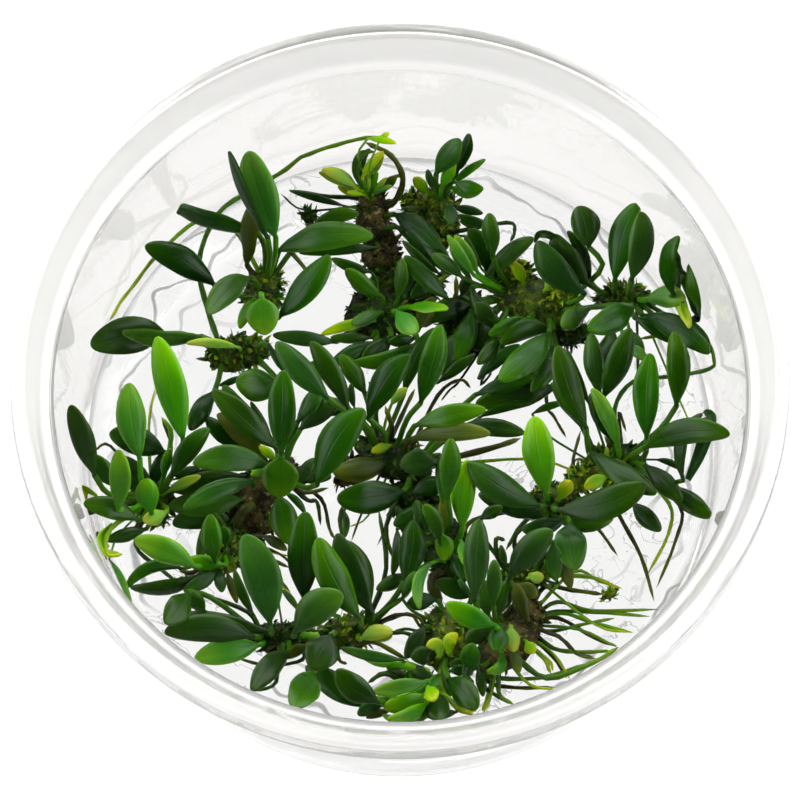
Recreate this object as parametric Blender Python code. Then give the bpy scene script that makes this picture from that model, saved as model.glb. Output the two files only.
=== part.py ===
"""A cup of tissue culture dwarf anubias: clear tub, clear gel and the plantlets that fill it.

Metres, +Z up. The origin is the centre of the cup's underside. Design values are in millimetres.
"""

import math

import bmesh
import bpy
from mathutils import Vector
from mathutils.bvhtree import BVHTree

MM = 0.001

# Driving dimensions of the cup
RIM_RADIUS = 50.0
CUP_HEIGHT = 45.0
BASE_RADIUS = 42.0
WALL = 0.9
FLOOR = 1.2
SKIRT_DROP = 4.5
LEDGE_RADIUS = 45.3
LEDGE_HEIGHT = 40.3
WALL_TOP_RADIUS = 44.8
WALL_TOP_HEIGHT = 39.6
WALL_LOW_RADIUS = 41.1
WALL_LOW_HEIGHT = 2.4
CUP_SIDES = 30

# Gel
GEL_HEIGHT = 17.0
GEL_WAVE = 0.45
GEL_RINGS = (13.0, 24.0, 34.0)
GEL_SIDES = 20
GAP = 0.35

# The planting plan is drawn on a level sheet at PLAN_HEIGHT, looked at from PLAN_EYE.
# A plan point (u, v) with a height z lies where the sight line through (u, v) is z high.
PLAN_EYE = Vector((0.0, -181.3, 532.6))
PLAN_HEIGHT = 27.0

BLADE_THICKNESS = 0.36
PETIOLE_RADIUS = 0.38
LEAF_STEPS = (0.0, 0.18, 0.5, 0.85, 1.0)
SHOOT_STEPS = (0.0, 0.28, 0.75, 1.0)
BUD_STEPS = (0.0, 0.45, 1.0)
BUD_WIDTH = 2.6
SIDES = 3
GROWTH_DEPTH = 0.26
UNION_KEEPS = 0.8
HIGHEST_LEAF = 39.0
LIFT_STEP = 0.4
LIFT_MOST = 14.0
PETIOLE_PARTS = (1.0, 0.7, 0.4, 0.15)

# Colours of the living pieces: dark old leaves to yellow-green young ones
TONES = {
    "dark": (0.022, 0.065, 0.016),
    "green": (0.045, 0.16, 0.018),
    "fresh": (0.10, 0.33, 0.016),
    "lime": (0.30, 0.42, 0.03),
    "olive": (0.075, 0.11, 0.02),
}

# Each clump: where its rhizome lies (u, v), the rhizome's length, width and height, its turn,
# then its leaves and its stems.
# A leaf is (kind, tone, width, roll, bow, base, tip) and may end with points its petiole passes.
# Kind "leaf" is a piece of its own, and kind "shoot" is a small leaf grown into the rhizome.
# A stem is (tone, radius, points).
CLUMPS = {
    "back_left": {
        "rhizome": ((-18.2, 17.6), (7.5, 4.8, 3.8), 75),
        "leaves": [
            ("leaf", "fresh", 4.6, 12, 0.4, (-16.7, 26.0, 26), (-20.5, 38.7, 33)),
            ("shoot", "dark", 2.8, 64, 0.6, (-17.8, 26.0, 25), (-23.2, 38.7, 33)),
            ("shoot", "olive", 3.0, 40, 0.0, (-20.5, 22.0, 22), (-20.2, 30.5, 30)),
            ("shoot", "dark", 3.7, -12, -0.4, (-24.8, 19.1, 23), (-34.3, 24.8, 27)),
            ("shoot", "green", 2.9, 38, 1.0, (-19.3, 27.0, 26), (-31.3, 31.0, 25)),
            ("leaf", "dark", 3.8, 18, 0.5, (-16.5, 24.0, 25), (-3.6, 26.2, 29)),
            ("shoot", "green", 2.4, -30, 0.2, (-12.0, 27.0, 23), (-5.5, 29.5, 25)),
            ("shoot", "green", 3.4, 15, -0.3, (-20.1, 20.2, 25), (-25.8, 15.0, 29)),
            ("shoot", "fresh", 4.2, 0, 0.0, (-18.5, 17.4, 28), (-18.0, 12.0, 25)),
            ("shoot", "green", 3.7, 20, -0.4, (-16.2, 14.5, 25), (-9.5, 23.5, 30)),
            ("shoot", "fresh", 1.6, 10, 0.0, (-19.6, 17.0, 23), (-21.4, 12.9, 25)),
        ],
        "stems": [
            ("olive", 0.4, [(-18.0, 20.0, 21), (-15.5, 24.5, 23), (-10.5, 18.5, 23)]),
            (
                "lime", 0.32,
                [
                    (-19.0, 20.4, 20), (-22.6, 27.6, 22), (-27.0, 28.6, 22.5), (-32.5, 23.6, 22),
                    (-35.6, 19.2, 21.5), (-37.5, 16.5, 21), (-38.8, 14.0, 21),
                ],
            ),
        ],
    },
    "left": {
        "rhizome": ((-21.6, 9.2), (8.5, 4.6, 3.4), 10),
        "leaves": [
            (
                "leaf", "dark", 4.8, 8, -0.3, (-31.0, 12.0, 24), (-41.2, 10.4, 28),
                [(-27.0, 11.2, 23)],
            ),
            (
                "shoot", "green", 3.0, 42, 0.8, (-26.5, 11.8, 27), (-37.1, 12.5, 31),
                [(-24.5, 10.8, 25)],
            ),
            ("shoot", "lime", 1.4, 30, 0.0, (-21.5, 10.2, 24), (-28.5, 10.8, 29)),
            ("shoot", "dark", 2.6, 14, 0.2, (-24.6, 4.0, 23), (-27.8, -1.5, 25)),
            ("shoot", "green", 4.2, -8, 0.0, (-15.8, 4.2, 25), (-21.8, 5.2, 29)),
            ("shoot", "dark", 2.6, 42, -2.6, (-17.5, 10.5, 24), (-9.5, 9.0, 23)),
        ],
        "stems": [
            ("lime", 0.35, [(-22.5, 9.0, 20), (-19.0, 7.0, 20), (-17.0, 6.0, 20)]),
            (
                "green", 0.4,
                [
                    (-23.4, 9.6, 19.5), (-25.8, 16.0, 19), (-27.0, 22.5, 19.5), (-24.6, 29.4, 20),
                    (-20.0, 33.0, 20), (-15.4, 36.0, 21), (-11.5, 39.6, 22), (-6.0, 40.8, 23),
                    (-1.2, 40.4, 24),
                ],
            ),
        ],
    },
    "back_centre": {
        "rhizome": ((-3.6, 28.6), (10.5, 4.4, 4.2), 93),
        "leaves": [
            ("shoot", "lime", 1.5, 20, 0.3, (-5.2, 33.0, 21), (-11.0, 35.6, 24)),
            ("shoot", "lime", 1.4, 0, -0.4, (-5.0, 34.0, 22), (-2.3, 38.6, 26)),
            ("shoot", "dark", 1.5, 30, 0.8, (-5.2, 33.6, 22), (-4.0, 39.0, 27)),
            ("shoot", "fresh", 1.2, 10, 0.0, (-3.4, 32.6, 21), (-3.8, 35.6, 26)),
            ("shoot", "fresh", 1.2, -20, 0.0, (-2.6, 32.4, 21), (-0.5, 35.0, 25)),
            ("shoot", "lime", 1.2, 10, 0.3, (-5.4, 32.2, 21), (-8.4, 33.6, 23)),
            ("shoot", "dark", 3.0, 10, 0.3, (-0.8, 29.4, 22), (5.5, 24.2, 25)),
        ],
        "stems": [
            ("olive", 0.55, [(-4.0, 31.5, 20), (-3.0, 27.5, 20), (-3.2, 22.5, 20)]),
            (
                "olive", 0.5,
                [(-4.0, 31.0, 20), (-0.8, 31.2, 22), (0.4, 34.5, 25), (-1.2, 38.0, 28), (-4.8, 40.0, 29)],
            ),
            ("dark", 0.35, [(-4.4, 31.6, 20), (-9.5, 32.0, 20), (-15.0, 33.0, 21)]),
        ],
    },
    "back_right_centre": {
        "rhizome": ((5.4, 28.6), (9.5, 4.6, 3.8), 88),
        "leaves": [
            ("shoot", "green", 2.9, 10, 0.3, (4.9, 35.3, 27), (8.3, 40.3, 32)),
            ("shoot", "dark", 2.4, 45, -0.2, (7.6, 35.6, 24), (9.4, 41.3, 28)),
            ("shoot", "fresh", 1.2, 20, 0.0, (6.8, 33.6, 23), (11.6, 37.5, 25)),
            ("shoot", "fresh", 1.9, 20, -0.5, (6.9, 33.4, 23), (11.2, 33.2, 21)),
            ("shoot", "dark", 1.8, 20, 0.0, (6.8, 31.0, 25), (6.9, 27.8, 27)),
            ("shoot", "dark", 1.3, 10, 0.0, (7.2, 30.4, 22), (11.2, 29.5, 22)),
            ("shoot", "lime", 1.6, 10, 0.0, (3.8, 32.6, 22), (1.8, 34.8, 24)),
        ],
        "stems": [("dark", 0.4, [(5.0, 32.0, 20), (2.5, 30.2, 21), (0.4, 30.4, 22)])],
    },
    "centre_back": {
        "rhizome": ((-2.6, 14.8), (9.5, 7.0, 4.0), 15),
        "leaves": [
            ("shoot", "fresh", 2.7, 10, 0.0, (-0.5, 15.3, 24), (2.1, 12.1, 27)),
            ("shoot", "green", 2.2, 10, 0.4, (-2.5, 17.5, 24), (-7.3, 21.5, 27)),
            ("shoot", "green", 1.9, 20, 0.0, (-0.3, 17.2, 24), (0.3, 23.0, 28)),
            ("shoot", "fresh", 2.2, 50, 0.0, (1.0, 16.0, 24), (6.5, 15.7, 27)),
            ("shoot", "green", 1.9, 10, 0.0, (-2.5, 15.2, 23), (-6.5, 13.5, 25)),
            ("shoot", "dark", 2.5, -20, 0.4, (6.3, 17.2, 24), (0.6, 23.4, 27)),
            ("shoot", "green", 2.3, 10, 1.2, (2.4, 11.0, 23), (-6.2, 8.2, 24)),
            ("shoot", "dark", 2.2, -10, 0.0, (-3.2, 11.0, 22), (-9.4, 7.6, 23)),
            ("shoot", "lime", 1.4, 0, 0.0, (-3.4, 14.0, 22), (-10.6, 12.0, 23)),
        ],
        "stems": [("olive", 0.45, [(-0.8, 16.0, 20), (3.4, 13.5, 20), (7.2, 17.0, 22), (7.5, 20.6, 25)])],
    },
    "back_right": {
        "rhizome": ((17.6, 16.4), (12.0, 7.0, 4.2), -28),
        "leaves": [
            (
                "leaf", "dark", 3.8, 10, 0.0, (25.4, 24.6, 28), (24.0, 30.6, 31),
                [(27.2, 22.2, 26), (25.4, 19.6, 23)],
            ),
            ("leaf", "dark", 4.0, 16, 1.4, (24.7, 18.0, 24), (18.6, 25.6, 29)),
            ("shoot", "green", 2.5, 20, 0.3, (11.6, 20.5, 23), (18.0, 26.0, 26)),
            ("shoot", "green", 2.4, 15, 0.0, (12.5, 23.2, 26), (12.0, 29.6, 30)),
            ("shoot", "fresh", 1.8, 40, 0.5, (9.9, 20.6, 25), (6.4, 26.4, 30)),
            ("shoot", "green", 1.8, 0, 0.0, (8.4, 20.2, 25), (4.3, 23.6, 29)),
            ("shoot", "green", 2.7, 10, 0.0, (25.3, 15.8, 24), (21.6, 13.0, 28)),
            ("leaf", "green", 3.6, 12, 0.4, (31.2, 16.1, 26), (25.0, 12.8, 30)),
            ("shoot", "green", 2.2, 30, 0.0, (17.0, 14.3, 24), (11.8, 12.0, 26)),
            ("leaf", "green", 3.8, -14, 0.3, (19.8, 12.2, 25), (13.2, 5.5, 29)),
            ("shoot", "dark", 2.4, 10, 0.0, (12.4, 13.0, 23), (10.0, 16.6, 25)),
            ("shoot", "dark", 1.9, 10, 0.0, (13.5, 11.5, 23), (10.3, 7.8, 25)),
            ("shoot", "lime", 1.6, 0, 0.0, (19.4, 18.4, 22), (21.6, 21.4, 24)),
            ("shoot", "lime", 1.6, 0, 0.0, (16.6, 19.4, 22), (15.0, 22.4, 24)),
        ],
        "stems": [],
    },
    "right_back": {
        "rhizome": ((30.0, 17.0), (7.0, 3.8, 3.0), 0),
        "leaves": [
            ("leaf", "dark", 3.6, 14, 0.3, (28.8, 19.8, 24), (32.0, 31.2, 30)),
            ("leaf", "green", 3.4, -16, -0.5, (31.0, 20.0, 28), (32.5, 29.8, 34)),
            ("shoot", "dark", 3.0, 40, 1.6, (36.6, 17.8, 25), (37.6, 26.2, 32)),
            ("shoot", "green", 2.0, 30, -2.4, (39.0, 14.2, 24), (39.8, 22.8, 31)),
            ("shoot", "lime", 1.4, 10, 0.5, (36.4, 16.6, 24), (38.6, 12.9, 26)),
            ("shoot", "fresh", 3.0, 6, 0.2, (33.0, 17.0, 24), (38.2, 17.0, 27)),
            ("shoot", "dark", 2.3, 10, 0.0, (31.4, 14.4, 23), (36.6, 10.9, 23)),
            ("shoot", "dark", 2.2, -20, 0.6, (35.4, 13.9, 23), (41.2, 10.4, 25)),
            ("shoot", "green", 1.4, 0, 0.0, (30.6, 12.6, 23), (32.4, 8.8, 24)),
        ],
        "stems": [],
    },
    "right": {
        "rhizome": ((27.8, -6.6), (8.0, 4.8, 3.6), 20),
        "leaves": [
            ("leaf", "green", 3.4, 10, 0.2, (32.6, -2.6, 26), (33.3, 9.4, 32), [(32.2, -5.2, 24)]),
            ("leaf", "dark", 3.4, -12, 0.6, (32.2, -4.0, 26), (43.6, -2.1, 33)),
            ("shoot", "dark", 3.1, 20, -0.3, (25.2, -4.7, 26), (33.7, -10.4, 30)),
            ("shoot", "dark", 2.0, 30, 1.7, (37.3, -8.5, 26), (40.1, 0.9, 31)),
            ("shoot", "dark", 2.6, 10, 0.0, (32.3, -6.4, 24), (37.0, -11.5, 26)),
            ("shoot", "dark", 2.7, 10, -0.7, (35.6, -9.1, 23), (41.0, -13.5, 24)),
            ("shoot", "dark", 2.4, -10, -0.3, (30.6, -11.6, 22), (34.2, -15.5, 22)),
            ("leaf", "dark", 3.4, -10, 0.3, (24.6, -1.2, 27), (21.0, 10.5, 33), [(24.9, -4.5, 24)]),
            ("shoot", "dark", 2.4, 40, 0.0, (24.2, -1.2, 24), (20.0, 5.2, 27)),
            ("shoot", "green", 2.7, 10, 0.3, (26.5, 3.5, 23), (25.5, 12.2, 27)),
            ("leaf", "dark", 3.3, -15, -0.4, (26.9, 3.1, 25), (30.7, 13.0, 30)),
            ("shoot", "fresh", 2.4, 30, -0.3, (28.8, -3.8, 24), (25.4, 4.4, 27)),
            ("shoot", "green", 3.1, 10, 0.0, (36.6, 1.9, 24), (36.5, 12.5, 30)),
            ("shoot", "lime", 1.8, 0, 0.0, (27.0, -8.0, 23), (24.2, -9.6, 24)),
        ],
        "stems": [
            ("olive", 0.35, [(28.6, -8.0, 19), (28.6, -13.0, 19), (31.5, -19.0, 18), (33.1, -25.2, 18)]),
            ("lime", 0.3, [(29.4, -8.4, 19), (35.3, -11.6, 19), (35.1, -16.0, 18), (32.2, -21.6, 18)]),
            ("olive", 0.3, [(30.2, -7.4, 19), (36.7, -11.9, 19), (36.0, -17.0, 18), (33.4, -23.4, 18)]),
            ("olive", 0.3, [(26.6, -7.6, 20), (22.8, -6.4, 20), (23.9, -1.4, 21)]),
            (
                "olive", 0.34,
                [
                    (28.8, -5.6, 19.5), (28.4, 1.4, 19.5), (31.0, 5.4, 20), (36.0, 6.1, 21),
                    (41.2, 7.2, 24.5), (42.4, 9.4, 26), (40.4, 11.4, 25), (36.0, 12.0, 22),
                    (31.6, 11.4, 20),
                ],
            ),
        ],
    },
    "centre_right": {
        "rhizome": ((20.4, -11.8), (6.5, 4.6, 3.6), 0),
        "leaves": [
            ("leaf", "green", 4.1, 12, 0.2, (19.2, -10.4, 25.4), (17.8, 0.5, 31)),
            ("leaf", "dark", 3.9, -10, 0.4, (18.2, -12.0, 26), (8.9, -6.0, 31)),
            ("shoot", "dark", 3.1, 10, 0.0, (18.8, -13.8, 23), (10.3, -10.4, 24)),
            ("leaf", "dark", 4.2, 14, -1.2, (20.8, -12.6, 25), (32.3, -8.8, 29)),
            ("shoot", "green", 2.4, 10, -0.8, (20.4, -13.6, 23), (28.0, -13.6, 23)),
            ("leaf", "green", 4.1, 10, 0.0, (22.2, -14.4, 23), (22.8, -20.9, 24)),
            ("shoot", "lime", 1.9, 0, 0.0, (20.8, -11.2, 23), (22.6, -8.6, 26)),
        ],
        "stems": [
            ("dark", 0.4, [(19.0, -13.0, 20), (16.0, -14.6, 21), (13.8, -18.2, 21)]),
            ("olive", 0.3, [(21.5, -12.4, 20), (25.7, -14.9, 19), (28.5, -19.0, 18)]),
        ],
    },
    "centre": {
        "rhizome": ((-0.6, -6.0), (10.5, 5.6, 3.8), -25),
        "leaves": [
            ("shoot", "green", 2.7, 10, 0.3, (1.9, -0.9, 26), (11.4, 1.4, 29)),
            ("shoot", "olive", 2.6, -14, 0.2, (1.3, -2.8, 25), (12.0, -2.0, 29)),
            ("shoot", "dark", 2.4, 10, 0.0, (8.2, -0.8, 23), (16.5, -1.9, 25)),
            ("shoot", "dark", 3.4, 0, 0.0, (4.8, -6.0, 24), (0.0, -6.4, 24)),
            ("shoot", "green", 3.3, -10, 0.0, (2.7, 2.3, 25), (5.5, 13.5, 30), [(0.9, 0.0, 24)]),
            ("leaf", "dark", 3.7, 12, 0.4, (-4.2, 0.2, 26), (1.3, 9.2, 31), [(-2.0, -2.0, 24)]),
            ("leaf", "green", 3.3, -8, 0.2, (-9.5, 3.0, 27), (-16.5, 11.0, 31), [(-5.0, -0.8, 24)]),
            ("leaf", "dark", 2.9, 20, -0.3, (-6.8, 1.5, 28), (-12.0, 11.0, 33), [(-4.0, -1.4, 25)]),
            ("shoot", "dark", 2.2, 10, 0.0, (10.0, 3.5, 23), (17.8, 6.0, 25)),
            ("shoot", "lime", 1.3, 0, 0.0, (-1.2, -3.6, 22), (-3.8, -4.6, 23)),
        ],
        "stems": [
            ("olive", 0.45, [(0.0, -4.5, 20), (-1.0, -1.5, 22), (-2.0, 2.0, 24)]),
            ("olive", 0.3, [(0.5, -4.0, 20), (5.0, 3.4, 20), (8.0, 5.6, 21), (9.4, 4.4, 21)]),
        ],
    },
    "left_centre": {
        "rhizome": ((-17.6, -9.2), (10.0, 5.6, 4.2), 30),
        "leaves": [
            ("leaf", "dark", 3.3, -12, 0.3, (-16.3, -4.0, 25), (-24.8, 4.2, 29)),
            ("leaf", "dark", 3.6, 12, 0.0, (-15.6, -4.8, 27), (-15.5, 7.0, 33)),
            ("shoot", "olive", 2.8, 20, 0.0, (-18.0, -5.3, 23), (-24.2, 0.8, 25)),
            ("leaf", "green", 3.4, -12, -0.4, (-17.3, -6.5, 26), (-27.3, -6.2, 29)),
            ("shoot", "green", 4.7, 0, 0.0, (-15.9, -5.2, 29), (-15.8, -10.8, 26)),
            ("leaf", "dark", 4.5, 10, 0.4, (-10.9, -9.1, 27), (-4.7, 1.5, 33)),
            ("shoot", "green", 2.4, 20, 0.0, (-13.6, -0.4, 23), (-10.5, 4.8, 25)),
            ("shoot", "green", 2.7, -16, -0.3, (-19.5, -8.6, 24), (-28.5, -12.4, 26)),
            ("shoot", "green", 3.6, 0, 0.2, (-16.0, -10.6, 24), (-14.4, -17.4, 23)),
            ("shoot", "fresh", 1.5, 10, 0.0, (-16.6, -6.4, 23), (-19.6, -7.9, 25)),
        ],
        "stems": [
            ("olive", 0.45, [(-14.0, -7.4, 21), (-11.0, -6.0, 23), (-9.0, -5.0, 24)]),
            ("olive", 0.3, [(-13.0, -8.4, 20), (-10.4, -11.0, 20), (-9.3, -15.0, 20), (-8.6, -16.6, 20)]),
        ],
    },
    "left_back_ball": {
        "rhizome": ((-32.3, -11.4), (5.4, 4.8, 4.0), 0),
        "leaves": [
            ("leaf", "dark", 2.9, 10, 0.2, (-40.2, -7.8, 28), (-43.6, 2.1, 36), [(-38.2, -10.4, 25)]),
            ("leaf", "green", 3.8, -8, 0.0, (-34.3, -5.5, 25), (-36.0, 5.2, 30), [(-34.0, -8.6, 23)]),
            ("shoot", "fresh", 2.8, 10, 0.0, (-37.0, -12.4, 26), (-37.1, -4.2, 31)),
            ("shoot", "dark", 3.6, 0, 0.0, (-31.0, -4.6, 23), (-38.4, -1.9, 25)),
            ("shoot", "dark", 2.5, 10, 0.0, (-37.5, -9.4, 25), (-40.5, -5.0, 28)),
            ("shoot", "green", 2.7, -14, 0.0, (-30.1, -8.0, 25), (-25.2, -1.2, 28)),
            ("leaf", "green", 4.0, 10, 0.2, (-28.6, -3.0, 27), (-32.4, 11.8, 33)),
            ("shoot", "green", 2.8, -10, -0.6, (-34.4, -14.0, 24), (-41.6, -11.8, 27)),
            ("shoot", "dark", 1.9, 20, 0.0, (-33.2, -15.2, 22), (-38.4, -16.8, 24)),
            ("shoot", "fresh", 3.0, 0, 0.0, (-32.6, -13.0, 25), (-33.4, -8.2, 28)),
            ("shoot", "fresh", 1.4, 0, 0.0, (-31.2, -8.0, 24), (-30.3, -4.0, 26)),
            ("shoot", "lime", 1.4, 0, 0.0, (-30.4, -10.0, 23), (-26.2, -7.9, 24)),
        ],
        "stems": [
            ("lime", 0.4, [(-34.0, -12.6, 22), (-37.9, -15.2, 25), (-38.4, -18.6, 25), (-36.2, -18.7, 25)]),
            ("dark", 0.35, [(-33.0, -13.0, 20), (-34.6, -17.4, 20), (-31.4, -20.6, 20), (-27.9, -23.4, 21)]),
            ("olive", 0.35, [(-31.5, -9.8, 20), (-30.2, -4.0, 21), (-31.6, 0.4, 22)]),
        ],
    },
    "left_front": {
        "rhizome": ((-22.6, -17.4), (6.5, 4.4, 3.8), 60),
        "leaves": [
            ("leaf", "green", 3.3, 8, -0.5, (-26.8, -20.4, 24), (-34.8, -16.8, 27)),
            ("shoot", "green", 2.7, 10, 0.0, (-24.2, -19.6, 24), (-24.9, -13.2, 27)),
            ("shoot", "fresh", 2.0, 0, 0.0, (-23.0, -20.2, 23), (-27.8, -19.4, 24)),
            ("shoot", "dark", 2.6, 44, 1.6, (-26.0, -21.4, 23), (-35.2, -23.2, 23)),
            ("shoot", "dark", 1.6, 10, 0.0, (-23.6, -20.8, 22), (-23.2, -23.9, 23)),
            ("shoot", "green", 1.5, 10, 0.0, (-22.8, -17.6, 24), (-23.1, -14.8, 26)),
            ("shoot", "olive", 1.2, 10, 0.0, (-22.6, -21.2, 21), (-21.2, -25.4, 21)),
        ],
        "stems": [
            ("olive", 1.2, [(-22.4, -16.0, 20), (-20.6, -13.0, 20.5), (-18.8, -11.6, 20.5)]),
            ("olive", 0.35, [(-21.0, -16.8, 20), (-17.6, -19.0, 20), (-14.3, -20.6, 19)]),
            ("olive", 0.3, [(-21.0, -18.0, 20), (-17.0, -21.0, 19), (-14.2, -24.0, 19)]),
        ],
    },
    "front_left": {
        "rhizome": ((-15.4, -30.2), (8.0, 3.8, 3.4), 4),
        "leaves": [
            ("leaf", "green", 4.8, 8, -0.3, (-16.9, -28.2, 27), (-20.4, -16.0, 33)),
            ("leaf", "green", 4.3, -10, 0.3, (-13.6, -29.3, 26), (-7.4, -24.2, 30)),
            ("leaf", "dark", 3.6, 10, -0.4, (-19.0, -29.9, 24), (-30.6, -29.4, 27)),
            ("shoot", "dark", 2.5, 0, 0.4, (-17.4, -29.2, 23), (-27.4, -26.7, 23)),
            ("shoot", "fresh", 3.4, -8, 0.4, (-18.2, -31.0, 23), (-26.6, -32.8, 25)),
            ("shoot", "dark", 3.0, 10, 0.0, (-14.4, -32.0, 23), (-19.2, -37.2, 28)),
            ("leaf", "dark", 3.9, 6, 0.0, (-12.5, -25.0, 26), (-12.4, -12.8, 32)),
            ("shoot", "dark", 3.4, 10, 0.4, (-27.6, -24.0, 24), (-30.6, -28.1, 27), [(-24.6, -24.6, 22)]),
            ("shoot", "green", 2.3, 16, 0.0, (-25.4, -26.6, 23), (-27.9, -23.6, 26)),
        ],
        "stems": [
            ("dark", 0.38, [(-15.6, -28.6, 21), (-19.8, -26.6, 21), (-25.4, -24.2, 21)]),
            ("dark", 0.3, [(-13.2, -31.2, 20), (-12.6, -33.0, 20), (-17.0, -33.8, 20), (-21.2, -32.8, 20)]),
            ("fresh", 0.6, [(-12.6, -30.0, 21), (-11.6, -29.8, 22), (-10.4, -29.7, 22)]),
        ],
    },
    "front_centre_left": {
        "rhizome": ((-6.4, -29.4), (8.0, 4.2, 3.6), 8),
        "leaves": [
            ("leaf", "green", 4.0, -8, 0.4, (-5.3, -27.4, 26), (-10.8, -16.4, 32)),
            ("shoot", "dark", 3.4, 12, 0.6, (-3.6, -26.8, 23), (-8.2, -15.8, 27)),
            ("shoot", "dark", 4.3, 0, 0.2, (-8.9, -29.8, 25), (-11.6, -34.2, 26)),
            ("shoot", "green", 3.9, 0, 0.0, (-11.3, -34.8, 24), (-13.7, -39.6, 32), [(-9.4, -32.6, 22)]),
            ("shoot", "dark", 3.4, 6, 0.0, (0.6, -22.4, 24), (1.8, -14.0, 27)),
        ],
        "stems": [
            ("lime", 1.0, [(-4.5, -30.0, 20.5), (-2.6, -29.9, 20.8), (-0.8, -29.3, 21)]),
            ("dark", 0.35, [(-1.9, -30.4, 20), (-1.2, -29.4, 22), (0.6, -29.4, 22), (3.2, -30.4, 21)]),
            ("olive", 0.3, [(-4.0, -28.8, 20), (-1.0, -27.4, 21), (1.4, -26.9, 21), (2.8, -29.0, 21)]),
            ("dark", 0.4, [(-4.6, -28.6, 20), (-1.8, -20.6, 20), (-2.9, -12.0, 21)]),
            ("olive", 0.3, [(-6.6, -31.2, 20), (-7.9, -33.0, 20), (-6.8, -33.6, 20)]),
        ],
    },
    "front_centre": {
        "rhizome": ((2.4, -36.8), (5.4, 3.6, 3.0), 0),
        "leaves": [
            ("leaf", "dark", 3.3, 8, 0.3, (-2.8, -38.7, 27), (-8.3, -34.4, 30)),
            ("shoot", "dark", 3.2, -6, 0.2, (-4.6, -39.4, 23), (-12.2, -33.9, 23)),
            ("shoot", "fresh", 2.4, 0, 0.3, (3.4, -36.0, 25), (-3.4, -37.3, 26)),
            ("shoot", "fresh", 2.6, 10, 0.3, (3.8, -38.0, 25), (-2.2, -39.4, 26)),
            ("shoot", "fresh", 2.0, 20, 0.6, (3.4, -38.8, 24), (-1.6, -41.0, 28)),
            ("shoot", "dark", 3.6, 0, 0.0, (4.6, -37.4, 23), (5.0, -41.2, 27)),
            ("shoot", "lime", 2.0, 0, 0.0, (3.6, -36.8, 24), (4.4, -38.6, 27)),
        ],
        "stems": [
            ("fresh", 0.6, [(2.6, -35.6, 21), (1.0, -33.9, 22), (-3.2, -33.4, 22), (-5.2, -32.0, 21)]),
            ("dark", 0.35, [(1.6, -36.2, 20), (-0.5, -34.7, 22), (-2.6, -35.1, 22), (-4.2, -36.2, 21)]),
        ],
    },
    "front_right_centre": {
        "rhizome": ((5.9, -30.2), (8.4, 6.2, 4.0), 80),
        "leaves": [
            ("shoot", "dark", 2.5, 0, 0.0, (4.2, -31.8, 23), (1.4, -32.8, 23)),
            ("shoot", "lime", 1.8, 10, 0.8, (6.6, -32.2, 24), (7.6, -29.6, 26)),
            ("shoot", "lime", 1.8, 10, -0.8, (5.0, -32.6, 24), (3.4, -31.2, 25)),
            ("shoot", "green", 2.6, 10, 0.2, (9.2, -34.8, 23), (9.6, -30.8, 27)),
            ("shoot", "dark", 3.3, -8, 0.4, (6.3, -35.6, 24), (9.8, -39.8, 27)),
        ],
        "stems": [("lime", 0.4, [(6.2, -33.4, 21), (5.3, -36.4, 22), (7.4, -39.6, 23), (9.6, -40.3, 24)])],
    },
    "front_right": {
        "rhizome": ((14.4, -30.2), (11.0, 6.2, 4.4), 52),
        "leaves": [
            ("leaf", "fresh", 2.8, 6, 0.3, (12.3, -28.4, 25), (6.0, -25.4, 27)),
            ("shoot", "green", 2.0, 10, 0.0, (12.2, -25.6, 25), (12.3, -19.4, 28), [(12.4, -27.6, 23)]),
            ("leaf", "dark", 3.3, 8, 0.0, (9.7, -25.0, 27), (10.3, -13.8, 33), [(10.6, -27.4, 24)]),
            ("shoot", "green", 2.6, 0, 0.0, (13.0, -28.4, 25), (12.4, -32.0, 26)),
            ("shoot", "lime", 2.2, 10, 0.0, (14.4, -28.6, 25), (14.8, -32.0, 25)),
            ("shoot", "olive", 2.0, 10, 0.0, (16.6, -28.0, 22), (15.0, -22.6, 24)),
            ("shoot", "lime", 1.6, 0, 0.0, (16.4, -30.6, 22), (17.4, -32.2, 22)),
            ("shoot", "fresh", 1.7, 30, 1.0, (13.2, -32.2, 23), (11.2, -34.6, 25)),
            ("shoot", "olive", 1.5, 10, 0.0, (15.0, -31.6, 22), (15.4, -34.8, 23)),
        ],
        "stems": [
            ("green", 0.32, [(17.0, -29.8, 19), (20.5, -25.2, 19), (25.0, -26.4, 18), (34.0, -26.2, 18)]),
            ("green", 0.32, [(17.4, -29.4, 19), (20.4, -26.5, 18), (26.8, -26.7, 18), (32.6, -27.2, 18)]),
            ("fresh", 0.32, [(17.4, -29.6, 19), (21.0, -26.7, 18), (25.0, -28.0, 18), (30.4, -29.4, 18)]),
            ("olive", 0.32, [(17.6, -29.8, 19), (20.6, -27.4, 19), (25.4, -30.2, 18), (28.2, -31.2, 18)]),
            ("green", 0.3, [(17.6, -30.0, 19), (19.6, -29.2, 18), (24.0, -28.2, 19.4), (28.0, -27.4, 18)]),
            ("olive", 0.3, [(17.6, -30.0, 19), (20.6, -29.9, 18), (22.8, -32.2, 18), (25.0, -32.6, 18)]),
            ("green", 0.35, [(16.6, -30.4, 20), (19.9, -31.5, 19), (23.6, -32.0, 18), (27.6, -31.8, 18)]),
            ("lime", 0.36, [(17.2, -30.6, 19), (18.8, -33.0, 18), (19.3, -34.8, 18)]),
            ("olive", 0.32, [(17.6, -30.4, 19), (19.8, -32.6, 18), (21.6, -35.6, 18)]),
            ("green", 0.36, [(13.0, -31.0, 19), (11.0, -35.2, 20), (18.0, -35.5, 19), (24.6, -33.4, 18)]),
            ("olive", 0.34, [(12.6, -31.2, 19), (11.4, -36.0, 18.6), (15.2, -36.8, 18), (20.2, -36.7, 18)]),
            ("dark", 0.36, [(12.4, -31.2, 19), (10.9, -36.4, 19.4), (12.4, -37.8, 19), (14.5, -39.0, 19)]),
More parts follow.
